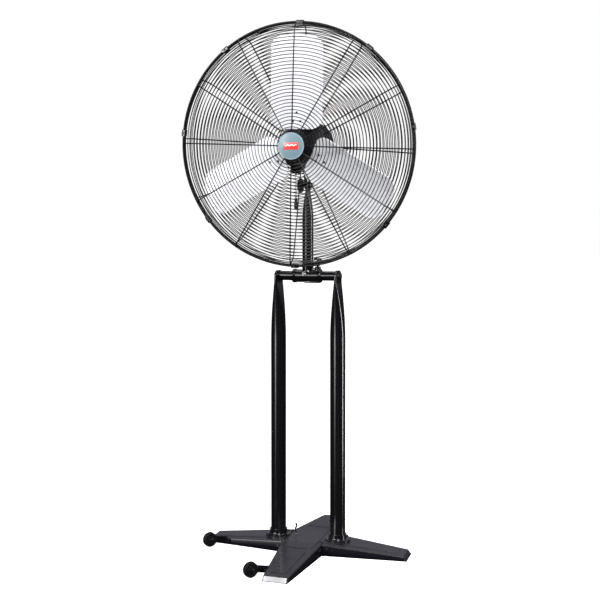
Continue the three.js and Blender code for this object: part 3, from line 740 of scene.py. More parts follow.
@dataclass
class Studio:
    """Camera, lights, backdrop and floor."""

    eye: tuple[float, float, float] = (0.979, -3.188, 1.088)
    heading: float = 17.55
    dip: float = 0.835
    lens: float = 56.6
    rise: float = -0.075
    floor_reach: float = 60.0
    ambient: float = 0.02
    glows: tuple[Glow, ...] = (
        Glow((-0.497, -0.873), 3.5, 4.0, (-0.25, 0.04, 0.2, 0.7), 11.0),
        Glow((0.9915, 0.1305), 1.5, 3.0, (-0.26, -0.2, 0.3, 0.7), 19.0),
        Glow((-0.294, 0.956), 40.0, 30.0, (0.0, 0.2, 0.45, 0.8), 0.28, (0.97, 0.94, 1.15)),
        Glow((-0.294, -0.956), 8.0, 12.0, (0.0, 0.08, 0.3, 0.5), 4.0),
    )

    def build(self) -> None:
        """Puts everything of the studio in place."""
        self.camera()
        self.sky()
        self.lamps()
        self.floor()
        bpy.context.scene.view_settings.view_transform = "Standard"

    def camera(self) -> None:
        """A long lens at chest height, off to the fan's left, its frame shifted up a little."""
        data = bpy.data.cameras.new("camera")
        data.lens = self.lens
        data.sensor_width = 36.0
        data.shift_y = self.rise
        camera = bpy.data.objects.new("camera", data)
        camera.location = self.eye
        camera.rotation_euler = Euler((radians(90 - self.dip), 0.0, radians(self.heading)))
        bpy.context.scene.collection.objects.link(camera)
        bpy.context.scene.camera = camera

    def sky(self) -> None:
        """White paper to look at, and a dim room with a few bright soft patches to reflect."""
        world = bpy.data.worlds.new("studio")
        world.use_nodes = True
        t = Tree(world.node_tree)
        t.tree.nodes.clear()
        way = t.add("ShaderNodeTexCoord").outputs["Generated"]
        room: object = (self.ambient,) * 3
        for glow in self.glows:
            bright = t.math("MULTIPLY", self.patch(t, way, glow), glow.strength)
            colour = t.mixed(1.0, (0.0, 0.0, 0.0, 1.0), (*glow.tint, 1.0))
            lit = t.add("ShaderNodeVectorMath", {0: colour, 3: bright}, operation="SCALE").outputs[0]
            room = t.add("ShaderNodeVectorMath", {0: room, 1: lit}, operation="ADD").outputs[0]
        dark = t.add("ShaderNodeBackground", {"Color": room, "Strength": 1.0})
        page = t.add("ShaderNodeBackground", {"Color": (1.0, 1.0, 1.0, 1.0), "Strength": 1.0})
        seen = t.add("ShaderNodeLightPath").outputs["Is Camera Ray"]
        mix = t.add("ShaderNodeMixShader", {0: seen, 1: dark.outputs[0], 2: page.outputs[0]})
        t.add("ShaderNodeOutputWorld", {"Surface": mix.outputs[0]})
        bpy.context.scene.world = world

    def patch(self, t: Tree, way: bpy.types.NodeSocket, glow: Glow) -> bpy.types.NodeSocket:
        """How strongly a direction lies in a glow.

        The level part of the direction, made a unit long, is multiplied with the glow's heading; the
        cosine and the rise each go through soft steps.

        Args:
            t: the world's tree.
            way: the direction.
            glow: the patch.

        Returns:
            0 outside and 1 inside.
        """
        x, y, z = t.add("ShaderNodeSeparateXYZ", {0: way}).outputs
        level = t.add("ShaderNodeCombineXYZ", {0: x, 1: y}).outputs[0]
        unit = t.add("ShaderNodeVectorMath", {0: level}, operation="NORMALIZE").outputs[0]
        heading = (*glow.heading, 0.0)
        cosine = t.add("ShaderNodeVectorMath", {0: unit, 1: heading}, operation="DOT_PRODUCT").outputs[1]
        edge = cos(radians(glow.half_width + glow.softness))
        inner = cos(radians(glow.half_width))
        side = self.soft_step(t, cosine, edge, inner)
        low = self.soft_step(t, z, glow.rise[0], glow.rise[1])
        high = self.soft_step(t, z, glow.rise[3], glow.rise[2])
        return t.math("MULTIPLY", side, t.math("MULTIPLY", low, high))

    def soft_step(self, t: Tree, value: object, start: float, end: float) -> bpy.types.NodeSocket:
        """A smooth rise from 0 at start to 1 at end."""
        inputs = {0: value, 1: start, 2: end}
        return t.add("ShaderNodeMapRange", inputs, interpolation_type="SMOOTHSTEP").outputs[0]

    def lamps(self) -> None:
        """A broad key from high in front, and softer ones from above and from the left."""
        self.lamp("key", (1.9, -4.4, 3.3), (2.2, 1.4), 290.0, (0.0, 0.0, 1.3))
        self.lamp("top_light", (0.0, 0.4, 4.4), (2.4, 2.4), 40.0, (0.0, 0.0, 0.6))
        self.lamp("side_light", (-3.6, -2.4, 3.0), (1.4, 1.0), 50.0, (0.0, 0.0, 1.3))
        self.lamp("blade_light", (3.2, -3.2, 2.4), (1.6, 1.6), 105.0, (0.1, 0.0, 1.4), glossy=False)

    def lamp(
        self, name: str, at: tuple, size: tuple, power: float, aim: tuple, glossy: bool = True
    ) -> None:
        """An oblong light that the camera doesn't see.

        Args:
            name: its name.
            at: where it stands.
            size: its width and height.
            power: in watts.
            aim: the point that it faces.
            glossy: show it in glossy paint.
        """
        data = bpy.data.lights.new(name, "AREA")
        data.shape = "RECTANGLE"
        data.size, data.size_y = size
        data.energy = power
        lamp = bpy.data.objects.new(name, data)
        lamp.location = at
        lamp.rotation_euler = (Vector(aim) - Vector(at)).to_track_quat("-Z", "Y").to_euler()
        lamp.visible_camera = False
        lamp.visible_glossy = glossy
        bpy.context.scene.collection.objects.link(lamp)

    def floor(self) -> None:
        """A wide pale floor."""
        reach = self.floor_reach
        mesh = bpy.data.meshes.new("floor")
        corners = [(-reach, -reach, 0.0), (reach, -reach, 0.0), (reach, reach, 0.0), (-reach, reach, 0.0)]
        mesh.from_pydata(corners, [], [(0, 1, 2, 3)])
        floor = bpy.data.objects.new("floor", mesh)
        bpy.context.scene.collection.objects.link(floor)
        floor.visible_glossy = False
        floor.visible_diffuse = False
        material = bpy.data.materials.new("pale_floor")
        material.use_nodes = True
        t = Tree(material.node_tree)
        shader = t.tree.nodes["Principled BSDF"]
        place = t.add("ShaderNodeTexCoord").outputs["Object"]
        shade = t.mixed(t.noise(place, 0.6), (0.92, 0.92, 0.93, 1.0), (0.95, 0.95, 0.95, 1.0))
        t.tree.links.new(shade, shader.inputs["Base Color"])
        shader.inputs["Roughness"].default_value = 1.0
        shader.inputs["Specular IOR Level"].default_value = 0.0
        shader.inputs["Emission Color"].default_value = (1.0, 1.0, 1.0, 1.0)
        shader.inputs["Emission Strength"].default_value = 0.97
        mesh.materials.append(material)


def upright(origin: Array, axis: Array) -> Place:
    """A place whose y axis points along axis.

    Args:
        origin: where it stands in the row frame.
        axis: the direction of its y axis, of any length.

    Returns:
        The place.
    """
    y = np.asarray(axis, float) / np.linalg.norm(axis)
    helper = np.array([0.0, 0.0, 1.0]) if abs(y[2]) < 0.9 else np.array([0.0, 1.0, 0.0])
    x = np.cross(y, helper)
    x /= np.linalg.norm(x)
    return Place(np.asarray(origin, float), np.stack([x, y, np.cross(x, y)], axis=1))


# ---------------------------------------------------------------- pull chain
@dataclass
class PullChain:
    """The bead chain under the switch and the knob on its end."""

    bead: float = 0.0016
    neck: float = 0.0008
    pitch: float = 0.004
    sides: int = 10
    body: str = "pull_chain"

    def build(self) -> None:
        """Beads on a thread, straight down, and the turned knob with its ferrule."""
        low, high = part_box("pull_chain")
        x, y = (low.x + high.x) / 2, (low.y + high.y) / 2
        length = high.z - low.z
        steps = round(length / self.pitch) * 8
        s = np.linspace(0.0, length, steps + 1)
        path = np.stack([np.full_like(s, x), np.full_like(s, y), high.z - s], axis=1)
        swell = np.sqrt(np.clip(1.0 - (2.0 * ((s / self.pitch) % 1.0) - 1.0) ** 2, 0.0, 1.0))
        radius = self.neck + (self.bead - self.neck) * swell
        chain = add_piece("bead_chain", tube(path, (1, 0, 0), radius, self.sides), NICKEL, self.body,
                          ("pull_chain",))
        knob = self.knob()

    def knob(self) -> bpy.types.Object:
        """The bell-shaped pull: a turned profile with two grooves.

        Returns:
            The piece.
        """
        low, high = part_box("chain_pendant")
        middle = ((low.x + high.x) / 2, (low.y + high.y) / 2, low.z)
        tall = high.z - low.z
        turned = np.array([
            (0.0, 0.0), (0.7, 0.0), (0.9, 0.03), (1.0, 0.1), (1.0, 0.22), (0.86, 0.24), (0.86, 0.27),
            (1.0, 0.29), (0.97, 0.5), (0.84, 0.52), (0.84, 0.55), (0.93, 0.57), (0.78, 0.75), (0.5, 0.9),
            (0.4, 1.0), (0.0, 1.0),
        ])
        profile = turned * ((high.x - low.x) / 2, tall)
        skin = revolved(profile, 28).moved(upright(middle, (0, 0, 1)))
        return add_piece("chain_knob", skin, PLASTIC, self.body, ("chain_pendant",))


# ---------------------------------------------------------------- base
@dataclass
class Base:
    """The cross of four hollow tapered legs, with what is pressed into it and bolted to it."""

    tip: float = 0.353
    root: float = 0.072
    tip_half: float = 0.042
    tip_height: float = 0.017
    edge: float = 0.005
    wall: float = 0.003
    step: float = 0.003
    leg_share: float = 0.60
    centre_share: float = 0.76
    emboss: float = 0.0022
    centre_end: float = 0.122
    leg_plate: tuple[float, float] = (0.138, 0.330)
    pad_radius: float = 0.046
    body: str = "stand"

    def __post_init__(self) -> None:
        """Takes the legs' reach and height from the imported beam."""
        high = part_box("base_beam")[1]
        self.reach = high.y
        self.height = high.z

    def half_at(self, u: Array) -> Array:
        """Half the leg's width at a distance from the centre: level, then tapering to the tip."""
        return np.interp(np.abs(u), (self.root, self.reach), (self.root, self.tip_half))

    def panels(self, u: Array, v: Array) -> Array:
        """How far the pressed panels stand up: one round the centre and one on each leg.

        Each is a rounded oblong: the distance outside it, through the cubic ramp over a few
        millimetres.

        Args:
            u: distance along the leg.
            v: distance across it.

        Returns:
            The rise at each point.
        """
        soft = 0.0024

        def plate(start: float, end: float, share: float, corner: float) -> Array:
            """A rounded plate whose sides keep to a share of the leg's width.

            Args:
                start: where it starts along the leg.
                end: where it ends.
                share: its half width over the leg's.
                corner: radius of its corners.

            Returns:
                1 on the plate and 0 off it.
            """
            middle, half_length = (start + end) / 2, (end - start) / 2
            over_u = np.maximum(np.abs(np.abs(u) - middle) - half_length + corner, 0.0)
            over_v = np.maximum(np.abs(v) - share * self.half_at(u) + corner, 0.0)
            return 1.0 - ramp(np.hypot(over_u, over_v) - corner, -soft, 0.0)

        centre = plate(-self.centre_end, self.centre_end, self.centre_share, 0.022)
        return self.emboss * np.maximum(centre, plate(*self.leg_plate, self.leg_share, 0.006))

    def columns(self) -> Array:
        """Places across the top, set close together beside the panels' edges.

        Returns:
            Shares of the half width, from 1 down to -1.
        """
        scale = self.root / (self.root - self.edge)
        shares = np.array([self.leg_share, self.centre_share]) * scale
        fine = (shares[:, None] - np.linspace(0.0, 0.045, 4)).ravel()
        fine = np.concatenate([fine, -fine])
        even = np.linspace(-1.0, 1.0, 39)[1:-1]
        even = even[np.min(np.abs(even[:, None] - fine), axis=1) > 0.012]
        return np.sort(np.concatenate([even, fine]))[::-1]

    def leg(self, start: float, end: float, turn: float) -> Skin:
        """The bent sheet of a leg, from foot to foot over the top.

        At each distance u the section goes up the side wall, round an edge, across the top and down
        again; its width and height come from the taper.

        Args:
            start: where it starts along the leg.
            end: where it ends.
            turn: the leg's heading in radians.

        Returns:
            The open sheet.
        """
        ends = np.array([self.centre_end, *self.leg_plate])
        fine = (ends[:, None] + np.linspace(-0.0024, 0.0024, 5)).ravel()
        marks = np.concatenate([fine, -fine, [-self.tip, -self.root, self.root, self.tip]])
        marks = marks[(start < marks) & (marks < end)]
        even = np.linspace(start, end, int((end - start) / self.step) + 1)
        even = even[np.min(np.abs(even[:, None] - marks), axis=1) > 0.0007]
        u = np.unique(np.concatenate([[start, end], even, marks]))[:, None]
        half = self.half_at(u)
        heights = (self.height, self.tip_height, 0.6 * self.wall)
        height = np.interp(np.abs(u), (self.root, self.tip, self.reach), heights)
        edge = np.minimum(self.edge, height / 2)
        arc = np.linspace(0.0, pi / 2, 6)[None, 1:]
        across = self.columns()[None]
        side_y = np.concatenate([half, half, half, half - edge + edge * np.cos(arc)], axis=1)
        rise = height - edge
        side_z = np.concatenate([0 * rise, 0.5 * rise, rise, rise + edge * np.sin(arc)], axis=1)
        top_y = (half - edge) * across
        y = np.concatenate([side_y, top_y, -side_y[:, ::-1]], axis=1)
        z = np.concatenate([side_z, height + 0 * top_y, side_z[:, ::-1]], axis=1)
        x = np.broadcast_to(u, y.shape)
        top = np.s_[:, side_y.shape[1] : side_y.shape[1] + top_y.shape[1]]
        z[top] += self.panels(x[top], y[top]) * ramp(height, 0.0, self.tip_height)
        points = np.stack([x * cos(turn) - y * sin(turn), x * sin(turn) + y * cos(turn), z], axis=-1)
        return grid(points)

    def build(self) -> None:
        """The three sheets, the pads, a black strip of painted shade for the slot, the hook and the bolts.
        """
        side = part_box("right_leg")[0].x + 0.0092
        side = max(side, self.root + GAP)
        add_piece("beam_sheet", self.leg(-self.reach, self.reach, pi / 2), BASE_PAINT, self.body,
                  ("base_beam",), wall=self.wall)
        for name, turn in (("right", 0.0), ("left", pi)):
            skin = self.leg(side, self.reach, turn)
            add_piece(f"{name}_leg_sheet", skin, BASE_PAINT, self.body, (f"{name}_leg",),
                      wall=self.wall)
            self.pad(name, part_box(f"post_flange_{name}"))
        # a thin black strip lies on the top where the slot is: painted shade of the slot's inside
        slot_shade = rounded_box((-0.036, -0.0298, 0.0405), (0.027, -0.0252, 0.0418), 0.0006)
        add_piece("centre_slot", slot_shade, RUBBER, self.body)
        self.hook()
        self.bolts()
        # only the front tip's face gets the pale metal, the other tips keep the dark paint: partly a
        # painted reflection
        dress_node("front_tip_plate", TIP_METAL_AND_REFLECTION, 0.0006)
        for corner in ("front_right", "back_right", "front_left", "back_left"):
            dress_node(f"leg_bolt_{corner}", BLACKED, 0.0004)

    def pad(self, name: str, flange: tuple[Vector, Vector]) -> None:
        """The raised round seat under a post's flange.

        Args:
            name: left or right.
            flange: the corners of the flange's box.
        """
        low, high = flange
        middle = ((low.x + high.x) / 2, 0.0, 0.0)
        top = low.z - GAP
        r = self.pad_radius
        profile = [(0.0, 0.031), (r, 0.031), (r, top - 0.0012), (r - 0.0012, top), (0.0, top)]
        skin = revolved(profile, 72).moved(upright(middle, (0, 0, 1)))
        add_piece(f"post_pad_{name}", skin, BASE_PAINT, self.body)

    def hook(self) -> None:
        """The bent wire that the supply lead is wound on, in a hexagon nut."""
        low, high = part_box("base_hook")
        foot = np.array([-0.048, 0.012, low.z])
        tall = high.z - low.z
        lean = [(0.0, 0.0), (0.0, 0.33), (-0.003, 0.5), (0.002, 0.66), (0.003, 0.82), (-0.002, 0.95)]
        route = [(x, 0.0, z) for x, z in lean]
        bends = softened(np.array(route) * (1.0, 1.0, tall) + foot)
        wire = tube(bends, (0, 1, 0), 0.003, 14)
        nut = hex_bolt(foot, (0, 0, 1), 0.0072, 0.006)
        add_piece("lead_hook", together(wire, nut), POST_PAINT, self.body, ("base_hook",))

    def bolts(self) -> None:
        """Bolt heads in the walls at the four inner corners, and two on the centre."""
        heads = []
        out, lift = 0.088, 0.022
        radius, tall = 0.0062, 0.0045
        slope = atan2(self.root - self.tip_half, self.reach - self.root)
        wall = float(self.half_at(np.array(out)))
        sides = ((out, wall, sin(slope), cos(slope)), (wall, out, cos(slope), sin(slope)))
        for sx in (-1, 1):
            for sy in (-1, 1):
                for x, y, dx, dy in sides:
                    heads.append(hex_bolt((sx * x, sy * y, lift), (sx * dx, sy * dy, 0), radius, tall))
        for sx in (-1, 1):
            heads.append(hex_bolt((sx * 0.0615, -0.054, self.height), (0, 0, 1), radius, tall))
        add_piece("corner_bolts", together(*heads), BLACKED, self.body)


# ---------------------------------------------------------------- wheels
@dataclass
class TransportWheel:
    """One wheel on its axle bolt."""

    name: str
    half: float = 0.009
    sides: int = 72

    def build(self) -> None:
        """The moulded wheel with the ribs across its web, and finishes for its axle and bracket."""
        axis = np.array(joint(f"{self.name}_wheel_spin")["axis"], float)
        place = place_of(f"{self.name}_wheel_spin", axis)
        h = self.half
        edge = np.linspace(0.0, pi / 2, 6)
        crown = np.stack([0.0215 + 0.0035 * np.sin(edge), -h + 0.0035 * (1 - np.cos(edge))], axis=1)
        face = [(0.0044, -h), (0.0105, -h), (0.0115, -h + 0.001), (0.012, -h + 0.0032),
                (0.0185, -h + 0.0032), (0.0195, -h + 0.001), (0.0205, -h)]
        near = np.concatenate([face, crown])
        profile = np.concatenate([near, near[::-1] * (1, -1)])
        skin = revolved(profile, self.sides, closed=True)
        rib = rounded_box((-0.0011, -h + 0.0006, 0.0112), (0.0011, h - 0.0006, 0.0195), 0.0005, 2)
        ribs = [spun_about(rib, a) for a in turns(6)]
        add_piece(f"moulded_wheel_{self.name}", together(skin, *ribs).moved(place), RUBBER,
                  f"wheel_{self.name}", (f"wheel_{self.name}",))
        dress_node(f"axle_{self.name}", BLACKED, 0.0005)
        dress_node(f"wheel_bracket_{self.name}", POST_PAINT, 0.0008)


# ---------------------------------------------------------------- posts and crossbar
@dataclass
class SqueezedTube:
    """A round tube pressed flat towards its top, as between two wedges.

    The section is a stadium whose outline keeps the round tube's length: half thickness d, and
    straight sides of pi (R - d) in all, shared by the two faces.
    """

    x: float
    radius: float
    flat_half: float
    flat_from: float
    taper: float
    bolt_z: float
    tongue: float
    spread: float = 1.0
    arc_steps: int = 16
    flat_steps: int = 7

    def skin(self, foot: float) -> Skin:
        """The closed surface, from the foot up to the round end above the bolt.

        Args:
            foot: height of its lower end.

        Returns:
            The surface.
        """
        start = self.flat_from - self.taper
        end = self.bolt_z + self.tongue * np.sin(np.linspace(0.0, pi / 2, 9))
        pressed = np.linspace(start, self.flat_from, 36)[1:]
        z = np.concatenate([[foot], np.linspace(foot, start, 12), pressed, end])[:, None]
        t = np.clip((self.flat_from - z) / self.taper, 0.0, 1.0)
        d = self.flat_half + (self.radius - self.flat_half) * np.sin(t * pi / 2)
        straight = self.spread * pi * (self.radius - d) / 2
        squeeze = np.sqrt(1.0 - np.clip((z - self.bolt_z) / self.tongue, 0.0, 1.0) ** 2)
        arc = np.linspace(0.0, pi, self.arc_steps)
        flat = np.linspace(1.0, -1.0, self.flat_steps + 2)[1:-1]
        c = np.concatenate([np.cos(arc), -np.ones_like(flat), -np.cos(arc), np.ones_like(flat)])
        s = np.concatenate([np.sin(arc), 0 * flat, -np.sin(arc), 0 * flat])
        e = np.concatenate([np.ones_like(arc), flat, -np.ones_like(arc), -flat])
        x = self.x + d * c
        y = (d * s + straight * e) * squeeze
        x[0], y[0] = self.x, 0.0
        return grid(np.stack([x, y, np.broadcast_to(z, x.shape)], axis=-1), wrap_columns=True)


@dataclass
class Stand:
    """The two posts with their flanges, the tube between them and its bolts."""

    radius: float = 0.027
    body: str = "stand"

    def build(self) -> None:
        """All of the stand above the base."""
        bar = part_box("crossbar")
        centre_z = (bar[0].z + bar[1].z) / 2
        for name in ("left", "right"):
            low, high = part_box(f"post_{name}")
            x = (low.x + high.x) / 2
            post = SqueezedTube(x, self.radius, 0.0045, 0.944, 0.204, centre_z, high.z - centre_z)
            add_piece(f"pressed_post_{name}", post.skin(low.z), POST_PAINT, self.body, (f"post_{name}",),
                      crease=60.0)
            self.flange(name, x)
            side = 1.0 if x > 0 else -1.0
            outside = x + side * 0.0048
            bolt = hex_bolt((outside, 0.0, centre_z), (side, 0, 0), 0.0112, 0.0085)
            ring = [(0.0, 0.0), (0.0145, 0.0), (0.0148, 0.001), (0.0145, 0.002), (0.0, 0.002)]
            washer = revolved(ring, 48)
            place = upright((outside, 0.0, centre_z), (side, 0, 0))
            add_piece(f"end_bolt_{name}", together(bolt, washer.moved(place)), BLACKED, self.body,
                      (f"crossbar_bolt_{name}",))
        self.crossbar(bar, centre_z)

    def flange(self, name: str, x: float) -> None:
        """A plate and collar round a post's foot, with a weld bead and four bolts.

        Args:
            name: left or right.
            x: the post's place.
        """
        low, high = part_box(f"post_flange_{name}")
        wide = (high.x - low.x) / 2
        base, top = low.z, high.z
        r = self.radius
        bead = np.linspace(0.0, pi / 2, 6)
        fillet = np.stack([0.0355 - 0.004 * np.sin(bead), base + 0.008 - 0.004 * np.cos(bead)], axis=1)
        profile = np.concatenate([
            [(r + GAP, base), (wide - 0.0008, base), (wide, base + 0.0008), (wide, base + 0.0032),
             (wide - 0.0008, base + 0.004)],
            fillet,
            [(0.0315, top - 0.001), (0.0305, top), (r + GAP, top)],
        ])
        skin = revolved(profile, 72, closed=True).moved(upright((x, 0, 0), (0, 0, 1)))
        add_piece(f"turned_flange_{name}", skin, POST_PAINT, self.body, (f"post_flange_{name}",))
        heads = [hex_bolt((x + 0.0385 * cos(a), 0.0385 * sin(a), base + 0.004), (0, 0, 1), 0.0046, 0.0042)
                 for a in turns(4) + pi / 4]
        add_piece(f"flange_bolts_{name}", together(*heads), BLACKED, self.body)

    def crossbar(self, box: tuple[Vector, Vector], z: float) -> None:
        """The round tube between the tongues: a turned profile with softened ends.

        Args:
            box: corners of the CAD tube.
            z: height of its centre line.
        """
        half = box[1].x
        r = (box[1].z - box[0].z) / 2
        profile = [(0.0, -half), (r - 0.001, -half), (r, -half + 0.001), (r, half - 0.001),
                   (r - 0.001, half), (0.0, half)]
        skin = revolved(profile, 64).moved(upright((0, 0, z), (1, 0, 0)))
        add_piece("crossbar_tube", skin, POST_PAINT, self.body, ("crossbar",))


# ---------------------------------------------------------------- swinging arm
@dataclass
class SwingArm:
    """The sleeve on the crossbar, the arm above it, and the screw that locks them."""

    bore: float = 0.01715
    radius: float = 0.0225
    tube_radius: float = 0.0195
    lock_x: float = 0.037
    body: str = "arm"

    def build(self) -> None:
        """Sleeve, lug, set bolt, arm tube and lock handle."""
        self.z = joint("arm_swing")["pos_m"][2]
        self.sleeve()
        self.arm()
        self.lock()
        dress_node("tilt_bolt", ZINC, 0.0006)

    def sleeve(self) -> None:
        """A turned sleeve with a lip at one end and a band at the other, its boss and clamp lug."""
        low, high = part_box("pivot_sleeve")
        a, b = low.x, high.x
        r = self.radius
        profile = [(self.bore, a), (r + 0.001, a), (r + 0.002, a + 0.001), (r + 0.002, a + 0.011),
                   (r + 0.001, a + 0.0125), (r, a + 0.013), (r, b - 0.014), (r + 0.0008, b - 0.0132),
                   (r + 0.0008, b - 0.0012), (r, b), (self.bore, b)]
        skin = revolved(profile, 72, closed=True).moved(upright((0, 0, self.z), (1, 0, 0)))
        boss_top = high.z - self.z
        neck = [(0.0, 0.012), (0.013, 0.012), (0.013, 0.0225), (0.0108, 0.025), (0.0105, boss_top - 0.001),
                (0.0095, boss_top), (0.0055, boss_top), (0.0055, boss_top - 0.004), (0.0, boss_top - 0.004)]
        boss = revolved(neck, 40).moved(upright((self.lock_x, 0, self.z), (0, 0, 1)))
        lug = rounded_box((0.018, -0.0075, self.z + 0.018), (0.047, 0.0075, self.z + 0.0275), 0.002)
        keel = rounded_box((-0.012, -0.009, self.z - 0.0252), (0.046, 0.009, self.z - 0.018), 0.003)
        add_piece("turned_sleeve", together(skin, boss, lug, keel), POST_PAINT, self.body,
                  ("pivot_sleeve",))
        lift = radians(20)
        out = np.array([0.0, -cos(lift), sin(lift)])
        foot = np.array([-0.008, 0, self.z]) + out * (r + 0.0002)
        bolt = hex_bolt(foot, out, 0.0066, 0.0055)
        add_piece("set_bolt", bolt, ZINC, self.body, ("sleeve_bolt",))

    def arm(self) -> None:
        """The tube with a flared foot on the sleeve and a pressed tongue at the tilt bolt."""
        tilt = joint("head_tilt")["pos_m"][2]
        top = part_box("arm_tube")[1].z
        tube_skin = SqueezedTube(0.0, self.tube_radius, 0.0045, 1.262, 0.096, tilt, top - tilt, spread=0.7)
        foot = self.z + 0.012
        flare = np.linspace(0.0, pi / 2, 10)
        collar = np.stack([0.0235 - 0.004 * np.sin(flare), foot + 0.026 - 0.026 * np.cos(flare)], axis=1)
        profile = np.concatenate([[(0.0, foot)], collar, [(0.0, foot + 0.026)]])
        foot_skin = revolved(profile, 56).moved(upright((0, 0, 0), (0, 0, 1)))
        add_piece("arm_pressed_tube", together(tube_skin.skin(foot), foot_skin), POST_PAINT, self.body,
                  ("arm_tube",), crease=60.0)

    def lock(self) -> None:
        """The T-shaped lock screw: a threaded stem, a collar and a rounded cross grip."""
        low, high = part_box("sleeve_lock_handle")
        grip = 0.0045
        bar_z = high.z - grip
        stem_z = np.linspace(self.z + 0.0175, bar_z, 120)
        thread = 0.0047 + 0.0003 * np.sin(2 * pi * stem_z / 0.0015)
        stem = np.concatenate([[(0.0, stem_z[0])], np.stack([thread, stem_z], axis=1), [(0.0, bar_z)]])
        collar = [(0.0, self.z + 0.036), (0.0075, self.z + 0.036), (0.0082, self.z + 0.037),
                  (0.0082, self.z + 0.046), (0.0065, self.z + 0.049), (0.0, self.z + 0.049)]
        parts = [revolved(p, 28).moved(upright((self.lock_x, 0, 0), (0, 0, 1))) for p in (stem, collar)]
        a = np.linspace(-pi / 2, pi / 2, 25)
        half = (high.x - low.x) / 2
        bar = np.stack([grip * np.cos(a) ** 0.6 * (1 - 0.15 * np.cos(a) ** 8), half * np.sin(a)], axis=1)
        parts.append(revolved(bar, 24).moved(upright((self.lock_x, 0, bar_z), (1, 0, 0))))
        add_piece("lock_tee", together(*parts), PLASTIC, "lock_handle", ("sleeve_lock_handle",))


@dataclass
class TiltJoint:
    """The bracket under the motor and the lobed clamp knob."""

    lobes: int = 8

    def build(self) -> None:
        """The knob, and finishes for the bracket."""
        dress_node("motor_bracket", MOTOR_PAINT, 0.0012)
        low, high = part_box("tilt_knob")
        z = joint("head_tilt")["pos_m"][2]
        far, near = low.x, -0.020
        radius = (high.z - low.z) / 2
        edge = np.linspace(0.0, pi / 2, 7)
        soft = 0.004
        reach = np.concatenate([[0.0, 0.5], 1 - 0.14 * (1 - np.sin(edge)), 1 - 0.14 * (1 - np.cos(edge)),
                                [0.29, 0.29, 0.0]])
        place = np.concatenate([[far + 0.0015, far + 0.0012], far + soft * (1 - np.cos(edge)),
                                near - soft * (1 - np.sin(edge)), [near, high.x, high.x]])
        a = turns(96)
        lobe = np.outer(np.clip((reach - 0.5) / 0.3, 0.0, 1.0), 0.12 * (np.cos(self.lobes * a) - 1) / 2)
        r = radius * (reach[:, None] + lobe * reach[:, None])
        x = np.broadcast_to(place[:, None], r.shape)
        points = np.stack([x, r * np.cos(a), z + r * np.sin(a)], axis=-1)
        cap = revolved([(0.0, 0.0), (0.0085, 0.0), (0.009, 0.0006), (0.0082, 0.0016), (0.0, 0.002)], 36)
        cap = cap.moved(upright((far + 0.0014, 0, z), (-1, 0, 0)))
        add_piece("lobed_knob", together(grid(points, wrap_columns=True), cap), PLASTIC, "tilt_knob",
                  ("tilt_knob",))


# ---------------------------------------------------------------- motor
def motor_place() -> Place:
    """Axes at the motor's shaft: y runs back along it, and z leans up square to it."""
    forward = np.array(joint("blade_spin")["axis"], float)
    return place_of("blade_spin", -forward)


